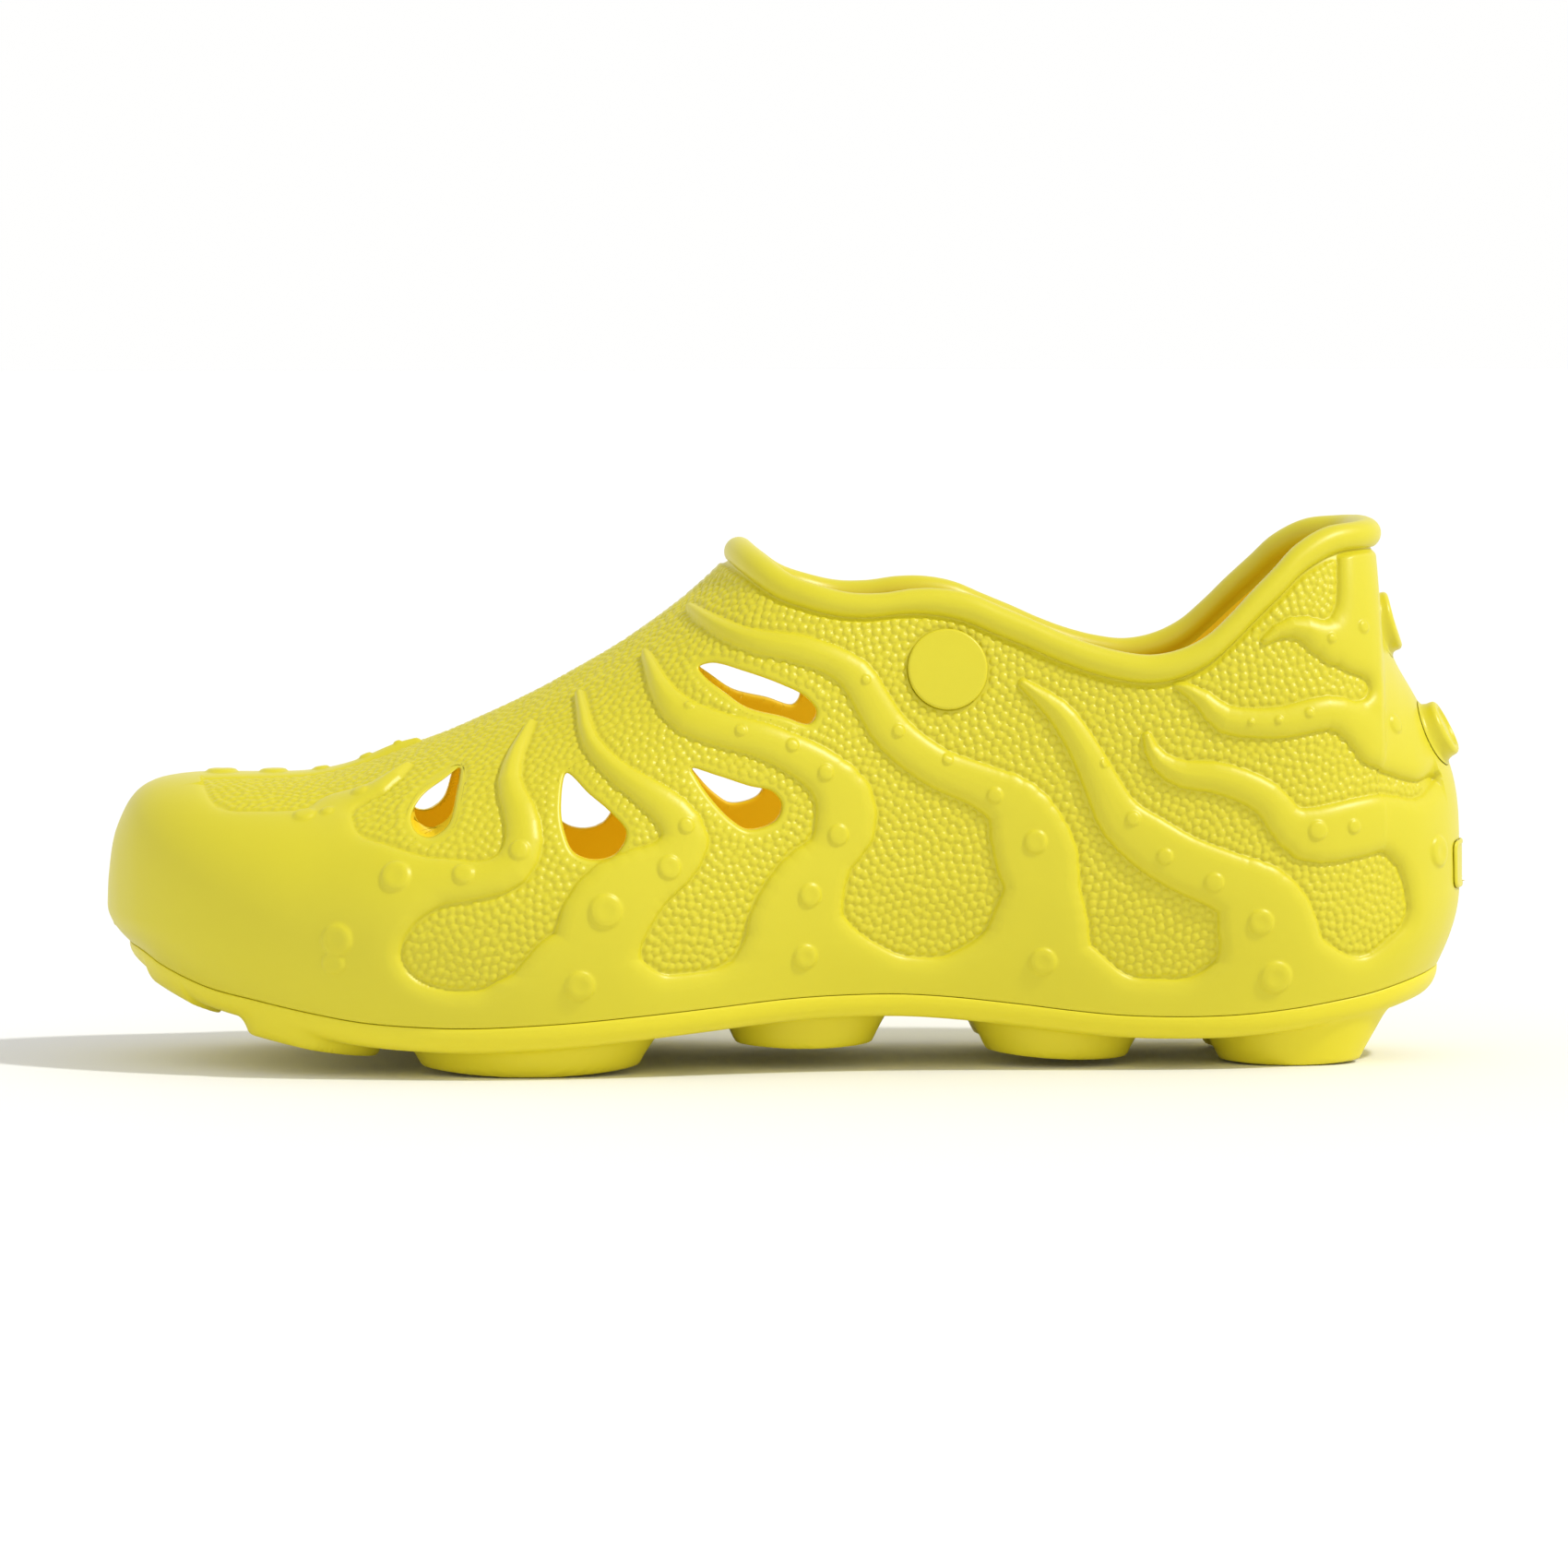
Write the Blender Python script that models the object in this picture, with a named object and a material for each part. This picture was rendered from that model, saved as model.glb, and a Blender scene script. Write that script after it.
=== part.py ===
"""Rubber garden clog, left shoe: toe toward -X, heel toward +X, outer (lateral) side toward -Y.

Origin at the centre of the footprint, on the ground. Dimensions below are in millimetres, about the
long axis of the foot form, and are turned into metres when the meshes are made; every piece is then
moved by CENTRE so that the footprint's middle is the origin.
"""
import math

import bmesh
import bpy
import numpy as np

for old in list(bpy.data.objects):
    bpy.data.objects.remove(old, do_unlink=True)

MM = 0.001
GAP = 0.3            # clearance between neighbouring pieces
WALL = 5.0           # wall of the upper
RIM_WALL = 3.6       # wall just under the collar bead
BEAD_R = 3.3         # rolled collar bead
BEAD_INSET = 1.0     # bead centre lies this far inside the outer face
FLOOR_T = 4.0        # inner floor of the upper
FOOTBED_T = 5.0      # removable insole
RELIEF_H = 1.6       # raised tentacles above the wall
TUCK = 0.033         # how far the wall draws in from its widest level to the parting line
MID_X = -1.5         # middle of the length
CENTRE = (0.35, 2.7) # from the form's long axis to the middle of the footprint, x and y
SOLE_T = 5.2         # plate of the outsole at its edge
AROUND = 72          # stations round the shoe
HEEL_X, TOE_X = 148.999, -151.999    # ends of the form's level sections
FRONT_X, BACK_X = -112, 116          # ends of the line that floors and soles close onto

# plan of the widest level, as half widths from the long axis: (x, half width)
LATERAL = [(-152, 0), (-151.5, 6.7), (-150.5, 11.5), (-149, 16.1), (-145, 24.1), (-138, 32.8),
           (-128, 41), (-115, 48), (-100, 53), (-85, 56), (-70, 57.5), (-55, 57.5), (-40, 55.8),
           (-25, 52.5), (-10, 48.5), (5, 44.8), (20, 42), (35, 40.3), (50, 39.6), (65, 39.8),
           (80, 40.2), (95, 40), (108, 38.4), (120, 35), (130, 30.6), (138, 25), (144, 17.7),
           (147, 11.5), (148.5, 5.8), (149, 0)]
MEDIAL = [(-152, 0), (-151.5, 6.7), (-150.5, 11.5), (-149, 16.1), (-145, 23.5), (-138, 31),
          (-128, 38.5), (-115, 45), (-100, 49.5), (-85, 52), (-70, 53), (-55, 52.5), (-40, 50.3),
          (-25, 47), (-10, 43.5), (5, 40.8), (20, 39), (35, 38.2), (50, 38.2), (65, 38.8),
          (80, 39.6), (95, 39.8), (108, 38.4), (120, 35), (130, 30.6), (138, 25), (144, 17.7),
          (147, 11.5), (148.5, 5.8), (149, 0)]
AXIS = [(-152, 6), (-130, 4), (-100, 1), (-70, 0), (149, 0)]
# side profile of the crown; past the collar it runs on as the ankle form the collar is cut from
CROWN = [(-152, 34), (-151.7, 40.5), (-150.5, 49), (-149, 53.3), (-147, 57.2), (-144.5, 60),
         (-141, 61.9), (-136, 63), (-130, 63.5), (-118, 63.6), (-106, 64), (-101, 64.7),
         (-93.5, 66.5), (-85.5, 69), (-77, 72), (-65, 77.3), (-56.5, 81.4), (-48.5, 85.8),
         (-40, 90.7), (-32, 96), (-24, 102), (-16, 109.2), (-10.5, 115), (-4, 121), (4, 127),
         (18, 133.5), (35, 138), (60, 141), (90, 142), (108, 140), (118, 136), (124, 130),
         (127.5, 122), (128.8, 112), (129.8, 99.5), (134, 88.5), (138, 81.5), (142, 74.5),
         (145, 69), (147.2, 63.5), (148.6, 56), (149, 40)]
WIDEST = [(-152, 34), (-120, 30), (-65, 25), (0, 30), (60, 28), (110, 32), (149, 38)]
PARTING = [(-152, 26.8), (-146, 25.8), (-143.5, 24.8), (-140, 22.7), (-130, 18.7), (-119, 16.4),
           (-107, 14.1), (-96, 12.4), (-84, 11.6), (-72, 11.4), (-52, 12.4), (-35, 13.8),
           (-18.5, 15.3), (-5, 16.6), (6, 17.2), (21, 17.3), (32, 16.6), (48, 14.8), (59, 13.4),
           (70, 12.3), (81, 11.9), (95, 12.1), (108.5, 13.3), (117, 14.5), (126, 16), (135, 18.2),
           (140, 19.5), (149, 22)]
RIM = [(-16, 116), (-8.5, 109.8), (-3, 106), (3.5, 103.7), (10, 102.2), (17, 102), (24, 102.8),
       (30.5, 102.7), (37, 101.4), (43.5, 98.7), (50.5, 95.8), (57, 92.9), (63.5, 90.5),
       (70.5, 88.7), (77, 88), (83.5, 89.2), (89.5, 92.1), (95, 96.8), (100, 101.8), (105.5, 107),
       (110.5, 111.8), (117.5, 115.6), (124.5, 116.6), (131, 116.8)]

# through-vents, outlines in side view (x, z)
VENTS = [
    [(-74.2, 66.4), (-78, 64.2), (-83, 60.5), (-85.2, 56.3), (-84, 53.2), (-81, 52.1),
     (-77, 54.6), (-75, 60.5)],
    [(-51.2, 66.1), (-46.2, 61.8), (-41.7, 58), (-38.2, 53.5), (-40.4, 49), (-45.2, 47.5),
     (-49.9, 49.1), (-52, 53.5), (-52.7, 59.3)],
    [(-23.9, 67.1), (-18.3, 65.7), (-11.7, 63.5), (-6.2, 62), (-4.2, 59), (-5.7, 55.4),
     (-11.8, 53.6), (-15.4, 55.6), (-19, 59.2), (-22.4, 63.8)],
    [(-22.1, 88.4), (-19.1, 89.6), (-11.6, 87.8), (-4, 85.1), (1.1, 82.5), (3.7, 79),
     (2, 76.2), (-4, 77.8), (-11.8, 79.8), (-16.7, 83.1), (-20.8, 86.3)],
]
# raised tentacles, outer side: (x, z, half width) from root to tip, read in side view
TENTACLES = [
    [(-98, 60, 4), (-91.5, 62.5, 3), (-85.5, 66, 1)],
    [(-94, 48, 7), (-88, 45, 7), (-78, 45.5, 6), (-68.5, 46, 4), (-61, 51, 4),
     (-61.5, 58, 3.5), (-63.5, 63.5, 2.5), (-62.5, 69, 2), (-58.5, 75.5, 1)],
    [(-48, 21, 10), (-46.5, 32.5, 9), (-44.5, 36.5, 7.5), (-38, 41.5, 6), (-28.5, 47, 5.5),
     (-25.5, 52, 5), (-28, 57, 4), (-34, 62, 3), (-40, 66.5, 2.5),
     (-46, 72.5, 2), (-47.5, 82, 1)],
    [(3, 24, 11), (-0.5, 31, 10), (0.5, 41, 8), (6, 48.5, 5.5), (9.5, 53.5, 6),
     (9.5, 60, 5.5), (5, 66, 4.5), (-7, 72.5, 3.5), (-16.5, 75, 3.5),
     (-25, 78, 3.5), (-30, 83, 2.5), (-33, 90.5, 1)],
    [(50.5, 23.5, 11), (52.5, 30, 10), (53, 41, 8.5), (52, 46, 8.5), (50, 52, 8),
     (47, 58, 6), (39.5, 62.5, 4.5), (29.5, 67, 4), (20, 74.5, 4), (15.5, 81, 4),
     (12.5, 86.5, 3.5), (8, 89.5, 3), (-0.5, 92.5, 3), (-10.5, 94.5, 2.5), (-17.5, 97, 1.5)],
    [(108, 22, 10), (102.5, 32.5, 9.5), (99.5, 37.5, 8), (94.5, 41, 6.5), (83.5, 46, 6),
     (77, 50, 5.5), (70, 55.5, 4.5), (66, 62.5, 3.5), (62, 70.5, 3), (56.5, 78.5, 2.5),
     (49, 85, 1)],
    [(139, 50, 7), (130.5, 53.5, 6), (124, 53, 6), (111.5, 51.5, 5.5), (106.5, 54, 4),
     (103, 59, 3.5), (98.5, 62, 3.5), (91.5, 64.5, 3), (83, 65.5, 2.5), (78, 69, 1.5),
     (76, 73.5, 1)],
    [(134, 70, 6), (128, 72, 5.5), (123, 75.5, 4.5), (117.5, 78, 3.5), (112.5, 77.5, 3.5),
     (106.5, 76.5, 3), (99.5, 76, 3), (92.5, 77, 2.5), (87.5, 82, 1.5), (83, 84.5, 1)],
    [(123, 94, 5.5), (119.5, 93.5, 5), (115, 94.5, 3.5), (110, 97, 2.5), (105.5, 96.5, 1.5),
     (102, 94, 1)],
]
# the middle tentacle on top of the toe: (x, half width)
TOP_TENTACLE = [(-141, 5.5), (-136, 8.6), (-128, 8), (-115, 6.5), (-104, 5), (-96.5, 3.6), (-89, 1.4)]

# lugs: (x, y, foot's half length, foot's half width, foot z, tilt with the toe spring in degrees)
LUGS = [(-136, -16, 8.6, 8, 15.6, 24), (-136, 21.5, 8.6, 8, 15.6, 24),
        (-106.5, -31.5, 13, 11, 5.6, 10), (-106.5, 29, 13, 11, 5.6, 10),
        (-59, -35, 22.5, 13.3, 0.0, 0), (-59, 31.5, 22.5, 13, 0.0, 0),
        (1.5, -22.5, 14, 11, 4.6, 0), (1.5, 20, 14, 10, 4.6, 0),
        (57.5, -19.5, 14.2, 10.8, 1.8, 0), (57.5, 18.5, 14.2, 10.3, 1.8, 0),
        (109, -17.5, 14, 10.3, 0.0, 0), (109, 17.5, 14, 10.3, 0.0, 0)]
LUG_SPREAD = 3.4     # how much wider a lug is at its root than at its foot

# fittings set into the wall: plan of each on the surface
BADGE_XZ, BADGE_RX, BADGE_RZ, BADGE_T = (32.3, 88.0), 8.8, 9.0, 3.2
STUD_UPPER_Z, STUD_UPPER_R = 96.2, 6.7
STUD_LOWER_Z, STUD_LOWER_R = 72.0, 6.5
STUD_PROUD = 3.4
PLATE_Z, PLATE_W, PLATE_H, PLATE_PROUD = 43.0, 15.0, 10.6, 1.3
ROUND_Y = -6.0       # the studs and the plate sit this far round to the outer side of the heel
SEAT = 1.6           # depth of the flat seats that the fittings sit in
STEM_R, STEM_L = 3.0, 2.2    # stem on the back of the round fittings
FACE_BEVEL = 0.8     # bevel round a fitting's face
PLATE_POWER = 8.0    # squareness of the heel plate's outline


def smooth_curve(points, per_span=24):
    """Centripetal Catmull-Rom curve through the points, as a dense polyline."""
    p = np.asarray(points, float)
    ext = np.vstack([2 * p[0] - p[1], p, 2 * p[-1] - p[-2]])
    out = []
    for i in range(1, len(ext) - 2):
        p0, p1, p2, p3 = ext[i - 1:i + 3]
        t0 = 0.0
        t1 = t0 + max(np.linalg.norm(p1 - p0), 1e-9) ** 0.5
        t2 = t1 + max(np.linalg.norm(p2 - p1), 1e-9) ** 0.5
        t3 = t2 + max(np.linalg.norm(p3 - p2), 1e-9) ** 0.5
        t = np.linspace(t1, t2, per_span, endpoint=False)[:, None]
        a1 = (t1 - t) / (t1 - t0) * p0 + (t - t0) / (t1 - t0) * p1
        a2 = (t2 - t) / (t2 - t1) * p1 + (t - t1) / (t2 - t1) * p2
        a3 = (t3 - t) / (t3 - t2) * p2 + (t - t2) / (t3 - t2) * p3
        b1 = (t2 - t) / (t2 - t0) * a1 + (t - t0) / (t2 - t0) * a2
        b2 = (t3 - t) / (t3 - t1) * a2 + (t - t1) / (t3 - t1) * a3
        out.append((t2 - t) / (t2 - t1) * b1 + (t - t1) / (t2 - t1) * b2)
    out.append(p[-1:])
    return np.vstack(out)


def table(points):
    """Smooth function of x through the points."""
    dense = smooth_curve(points)
    xs = np.maximum.accumulate(dense[:, 0])
    return lambda x: np.interp(x, xs, dense[:, 1])


lateral, medial, axis_y = table(LATERAL), table(MEDIAL), table(AXIS)
crown, widest, parting, rim_z = table(CROWN), table(WIDEST), table(PARTING), table(RIM)


def up_power(x):
    """How full the section is toward the crown."""
    return np.interp(x, [-150, -110, -50, 0, 60], [2.5, 2.4, 2.2, 2.3, 2.6])


def side_power(x):
    """How full the section is toward the side."""
    return np.interp(x, [-150, -110, -50, 0, 60], [2.2, 2.3, 2.0, 2.0, 2.0])


def field(P):
    """Below zero inside the outer form of the upper, above zero outside."""
    x, y, z = P[..., 0], P[..., 1], P[..., 2]
    drop = np.clip((widest(x) - z) / (widest(x) - parting(x)), 0, 1.4)
    k = 1 - TUCK * drop * drop
    xs, ys = MID_X + (x - MID_X) / k, y / k
    past = np.maximum(np.maximum(xs - HEEL_X, TOE_X - xs), 0)
    xc = np.clip(xs, TOE_X, HEEL_X)
    dy = ys - axis_y(xc)
    w = np.where(dy < 0, lateral(xc), medial(xc)) + 1e-6
    h = np.maximum(crown(xc) - widest(xc), 1e-3)
    side = np.abs(dy) / w
    up = np.maximum(z - widest(xc), 0) / h
    return (side ** side_power(xc) + up ** up_power(xc)) ** (1 / 2.2) - 1 + past


def hit(O, D, far=260.0):
    """Where unit rays D from inside points O leave the outer form."""
    lo, hi = np.zeros(O.shape[:-1]), np.full(O.shape[:-1], far)
    for _ in range(34):
        mid = 0.5 * (lo + hi)
        inside = field(O + D * mid[..., None]) < 0
        lo, hi = np.where(inside, mid, lo), np.where(inside, hi, mid)
    return O + D * (0.5 * (lo + hi))[..., None]


def normal(P):
    """Outward unit normal of the outer form."""
    e, g = 0.05, []
    for a in range(3):
        s = np.zeros(3)
        s[a] = e
        g.append(field(P + s) - field(P - s))
    g = np.stack(g, -1)
    return g / np.maximum(np.linalg.norm(g, axis=-1, keepdims=True), 1e-12)


def wide_normal(p, r=4.0):
    """Normal of the heel's back at p, averaged over a patch of radius r."""
    at = lambda y, z: hit(np.array([[90.0, y, z]]), np.array([[1.0, 0.0, 0.0]]))[0]
    across = at(p[1] + r, p[2]) - at(p[1] - r, p[2])
    n = np.cross(across, at(p[1], p[2] + r) - at(p[1], p[2] - r))
    return n / np.linalg.norm(n)


def by_length(curve, n):
    """Resample a polyline to n points evenly along its length."""
    seg = np.linalg.norm(np.diff(curve, axis=0), axis=1)
    s = np.concatenate([[0], np.cumsum(seg)])
    q = np.linspace(0, s[-1], n)
    return np.stack([np.interp(q, s, c) for c in curve.T], -1)


def sole_half(width, sign):
    """Half of the sole's edge, toe to heel, at the parting line."""
    a = np.linspace(0, math.pi, 400)
    xs = MID_X - 0.5 * (HEEL_X - TOE_X) * np.cos(a)
    k = 1 - TUCK
    x = MID_X + (xs - MID_X) * k
    y = (axis_y(xs) + sign * width(xs)) * k
    return np.stack([x, y, parting(x)], -1)


def rim_half(width, sign):
    """Half of the collar's edge on the outer form, front to back."""
    xs = np.linspace(-16, 130, 4000)
    open_ = crown(xs) > rim_z(xs) + 0.02
    x0, x1 = xs[open_][0], xs[open_][-1]
    a = np.linspace(0, math.pi, 400)
    x = 0.5 * (x0 + x1) - 0.5 * (x1 - x0) * np.cos(a)
    z = rim_z(x)
    up = np.clip((z - widest(x)) / (crown(x) - widest(x)), 0, 1)
    y = axis_y(x) + sign * width(x) * np.maximum(1 - up ** up_power(x), 0) ** 0.5
    return np.stack([x, y, z], -1)


def edge_pairs(n):
    """n matching points round the sole edge and the collar edge, starting at the toe."""
    u = np.linspace(0, 1, n // 2 + 1)
    v = np.interp(u, [0, 0.15, 0.3, 0.45, 0.62, 0.8, 1], [0, 0.075, 0.155, 0.26, 0.42, 0.68, 1])
    share = np.linspace(0, 1, 2001)
    sole, rim = [], []
    for width, sign in ((lateral, -1), (medial, 1)):
        b = by_length(sole_half(width, sign), len(share))
        r = by_length(rim_half(width, sign), len(share))
        sole.append(np.stack([np.interp(u, share, c) for c in b.T], -1))
        rim.append(np.stack([np.interp(v, share, c) for c in r.T], -1))
    return np.vstack([sole[0], sole[1][-2:0:-1]]), np.vstack([rim[0], rim[1][-2:0:-1]])


def wall_grid(n, m):
    """Points of the outer form from the sole edge (row 0) to the collar edge (last row)."""
    B, R = edge_pairs(n)
    t = np.linspace(0, 1, 160)[None, :, None]
    Q = B[:, None] * (1 - t) + R[:, None] * t
    ox = np.clip(B[:, :1] * 0.72, -104, 108)
    orx = np.clip(R[:, :1] * 0.9, 16, 100)
    low = np.concatenate([ox, 0 * ox, np.interp(ox, [-110, 0, 110], [30, 26, 26])], 1)
    high = np.concatenate([orx, 0 * orx, 0 * orx + 62], 1)
    O = low[:, None] * (1 - t) + high[:, None] * t
    D = Q - O
    D /= np.linalg.norm(D, axis=-1, keepdims=True)
    S = hit(np.broadcast_to(O, Q.shape).copy(), D)
    S[:, 0], S[:, -1] = B, R
    return np.stack([by_length(column, m) for column in S], 1)


def grid_body(name, rings):
    """Closed body from rings of points; the first and last ring collapse onto a line."""
    bm = bmesh.new()
    made = [[bm.verts.new(tuple(p * MM)) for p in ring] for ring in rings]
    n = len(rings[0])
    for a, b in zip(made[:-1], made[1:]):
        for j in range(n):
            k = (j + 1) % n
            bm.faces.new((a[j], a[k], b[k], b[j]))
    bmesh.ops.remove_doubles(bm, verts=bm.verts, dist=1e-6)
    bmesh.ops.dissolve_degenerate(bm, edges=bm.edges, dist=1e-6)
    bmesh.ops.recalc_face_normals(bm, faces=bm.faces)
    return add_mesh(name, bm)


def add_mesh(name, bm):
    """Object from a bmesh; its bent four-sided faces are split so every face is flat."""
    bent = [f for f in bm.faces if len(f.verts) == 4]
    bmesh.ops.triangulate(bm, faces=bent, quad_method='SHORT_EDGE')
    mesh = bpy.data.meshes.new(name)
    bm.to_mesh(mesh)
    bm.free()
    obj = bpy.data.objects.new(name, mesh)
    bpy.context.scene.collection.objects.link(obj)
    return obj


def spine_ring(ring, z_of):
    """The ring drawn in to a line down the middle of the shoe."""
    n = len(ring)
    mirror = ring[(-np.arange(n)) % n]
    x = np.clip(0.5 * (ring[:, 0] + mirror[:, 0]), FRONT_X, BACK_X)
    return np.stack([x, axis_y(x), z_of(x)], -1)


def cap_rings(ring, z_of, steps):
    """Rings that fill a ring's inside, ring first, line last."""
    line = spine_ring(ring, z_of)
    out = []
    for s in steps:
        p = ring * (1 - s) + line * s
        keep = (1 - s) ** 2
        p[:, 2] = keep * (ring[:, 2] - z_of(ring[:, 0])) + z_of(p[:, 0])
        out.append(p)
    return out


def floor_z(x):
    """Inner floor of the upper."""
    return parting(x) + FLOOR_T


class Wall:
    """The outer face of the upper as columns from the sole edge to the collar edge."""

    def __init__(self, n):
        self.points = wall_grid(n, 81)
        N = normal(self.points[1:-1])
        N = np.concatenate([N[:1], N, N[-1:]])
        N[-1] = normal(self.points[-1] - 0.02 * N[-1])
        self.normals = N
        length = np.linalg.norm(np.diff(self.points, axis=0), axis=2)
        self.along = np.concatenate([np.zeros((1, n)), np.cumsum(length, 0)])
        self.total = self.along[-1]

    def at(self, dist, inset):
        """Points at a distance up each column, moved in by the inset."""
        out = []
        for j, d in enumerate(dist):
            base = np.array([np.interp(d, self.along[:, j], c) for c in self.points[:, j].T])
            n = np.array([np.interp(d, self.along[:, j], c) for c in self.normals[:, j].T])
            out.append(base - inset * n / np.linalg.norm(n))
        return np.array(out)

    def collar_axes(self):
        """Directions up the wall and square to it, at the collar edge."""
        T = self.points[-1] - self.points[-3]
        T /= np.linalg.norm(T, axis=-1, keepdims=True)
        out = self.normals[-1] - (self.normals[-1] * T).sum(-1, keepdims=True) * T
        return T, out / np.linalg.norm(out, axis=-1, keepdims=True)

    def floor_dist(self):
        """Distance up each column to just above the inner floor."""
        above = self.points[..., 2] > floor_z(self.points[..., 0]) + 1.0
        first = np.argmax(above, axis=0)
        return self.along[first, np.arange(len(first))]


def upper_rings(wall, rows=14):
    """Rings of the upper: base, outer face, collar bead, inner face, floor; and the floor's edge."""
    outer = [wall.at((wall.total - 3.2) * f ** 1.25, 0.0) for f in np.linspace(0, 1, rows)]
    outer[0] = wall.points[0]
    up, out = wall.collar_axes()
    centre = wall.points[-1] - out * BEAD_INSET
    turns = np.radians([-70, -25, 15, 55, 95, 135, 178, 217])
    bead = [centre + BEAD_R * (math.cos(a) * out + math.sin(a) * up) for a in turns]
    bottom = wall.floor_dist()
    inner = []
    for f in np.linspace(0.94, 0, 7):
        dist = bottom + (wall.total - 2.2 - bottom) * f
        inner.append(wall.at(dist, WALL if f < 0.9 else RIM_WALL))
    foot = inner[-1]
    foot[:, 2] = floor_z(foot[:, 0]) + 1.2
    base = cap_rings(outer[0], parting, (1.0, 0.66, 0.33))
    floor = cap_rings(foot, floor_z, (0.06, 0.3, 0.6, 1.0))
    return base + outer + bead + inner + floor, foot


def prism(name, outline, y0, y1):
    """Closed prism from an outline in side view, running across the shoe."""
    bm = bmesh.new()
    near = [bm.verts.new((x * MM, y0 * MM, z * MM)) for x, z in outline]
    far = [bm.verts.new((x * MM, y1 * MM, z * MM)) for x, z in outline]
    bm.faces.new(near)
    bm.faces.new(far[::-1])
    for i in range(len(near)):
        k = (i + 1) % len(near)
        bm.faces.new((near[k], near[i], far[i], far[k]))
    bmesh.ops.recalc_face_normals(bm, faces=bm.faces)
    return add_mesh(name, bm)


def side_point(x, z, sign):
    """Point of the outer form seen at (x, z) from one side."""
    O = np.array([[x, 0.0, z]])
    return hit(O, np.array([[0.0, float(sign), 0.0]]))[0]


def combine(obj, tool, op):
    """Boolean of a piece with a tool object, which is then only a guide."""
    tool.hide_render = True
    tool.display_type = 'WIRE'
    mod = obj.modifiers.new(op.title(), 'BOOLEAN')
    mod.object = tool
    mod.operation = op
    mod.solver = 'EXACT'


def vent_cutters():
    """One cutter for each vent, right through both walls."""
    return [prism('cut_vent_%d' % (i + 1), smooth_closed(pts, 14), -75, 75) for i, pts in enumerate(VENTS)]


def smooth_closed(points, n):
    """Closed smooth outline through the points, n samples."""
    p = np.asarray(points, float)
    per = 24
    dense = smooth_curve(np.vstack([p[-2:], p, p[:3]]), per)
    dense = dense[2 * per:(2 + len(p)) * per + 1]
    return by_length(dense, n + 1)[:-1]


def strip(bm, path, widths, normals):
    """One raised strip: a low rounded section swept along a path on the surface."""
    n = len(path)
    tang = np.gradient(path, axis=0)
    tang /= np.linalg.norm(tang, axis=1, keepdims=True)
    rings = []
    for i in range(n):
        side = np.cross(normals[i], tang[i])
        side /= np.linalg.norm(side)
        w = widths[i]
        h = RELIEF_H * min(1, 0.45 + w / 5)
        sec = [(-w, -2.2), (-w, 0.25 * h), (-0.55 * w, h), (0.55 * w, h), (w, 0.25 * h), (w, -2.2)]
        rings.append([bm.verts.new(tuple((path[i] + a * side + b * normals[i]) * MM)) for a, b in sec])
    for a, b in zip(rings[:-1], rings[1:]):
        for j in range(6):
            k = (j + 1) % 6
            bm.faces.new((a[j], a[k], b[k], b[j]))
    bm.faces.new(rings[0][::-1])
    bm.faces.new(rings[-1])


def strip_body(name, path, widths):
    """Closed strip along a path on the outer form."""
    bm = bmesh.new()
    strip(bm, path, widths, normal(path))
    bmesh.ops.recalc_face_normals(bm, faces=bm.faces)
    return add_mesh(name, bm)


def tentacle_strips():
    """Raised tentacles of both sides and of the toe's top, as separate closed strips."""
    out = []
    for side, sign in (('o', -1), ('i', 1)):
        for k, pts in enumerate(TENTACLES):
            pick = by_length(smooth_curve(pts, 8), max(5, int(1.1 * len(pts))))
            path = np.array([side_point(x, z, sign) for x, z, _ in pick])
            out.append(strip_body('add_tentacle_%s%d' % (side, k + 1), path, pick[:, 2]))
    x, widths = np.array(TOP_TENTACLE, float).T
    inside = np.stack([x, axis_y(x), 0 * x + 34], -1)
    path = hit(inside, np.tile([0.0, 0.0, 1.0], (len(x), 1)))
    out.append(strip_body('add_tentacle_top', path, widths))
    return out


def frame_at(n):
    """Rotation whose local Z is the surface normal and local Y stays as upright as it can."""
    z = n / np.linalg.norm(n)
    x = np.cross([0, 0, 1.0], z)
    x /= np.linalg.norm(x)
    return np.stack([x, np.cross(z, x), z], 1)


def stepped(name, p, rot, layers):
    """Stack of outlines (outline, depth), one closed body."""
    bm = bmesh.new()
    rings = [[bm.verts.new(tuple((p + rot @ np.array([u, v, h])) * MM)) for u, v in o] for o, h in layers]
    for a, b in zip(rings[:-1], rings[1:]):
        for i in range(len(a)):
            k = (i + 1) % len(a)
            bm.faces.new((a[i], a[k], b[k], b[i]))
    bm.faces.new(rings[0])
    bm.faces.new(rings[-1])
    bmesh.ops.recalc_face_normals(bm, faces=bm.faces)
    return add_mesh(name, bm)


def oval(rx, ry, n=24, power=2.0):
    a = np.linspace(0, 2 * math.pi, n, endpoint=False)
    c, s = np.cos(a), np.sin(a)
    return np.stack([rx * np.sign(c) * np.abs(c) ** (2 / power),
                     ry * np.sign(s) * np.abs(s) ** (2 / power)], -1)


def fitting(name, p, n, rx, ry, proud, power=2.0, stem=False):
    """A set-in fitting and the cutter for its seat (and stem hole)."""
    rot = frame_at(n)
    face = oval(rx - FACE_BEVEL, ry - FACE_BEVEL, power=power)
    plan = oval(rx, ry, power=power)
    room = oval(rx + GAP, ry + GAP, power=power)
    body = [(plan, GAP - SEAT), (plan, proud - FACE_BEVEL), (face, proud)]
    seat = [(room, 6.0), (room, -SEAT)]
    if stem:
        pin = oval(STEM_R, STEM_R)
        hole = oval(STEM_R + GAP, STEM_R + GAP)
        body = [(pin, GAP - SEAT - STEM_L), (pin, GAP - SEAT)] + body
        seat += [(hole, -SEAT), (hole, -SEAT - STEM_L)]
    return stepped(name, p, rot, body), stepped('cut_' + name, p, rot, seat)


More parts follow.
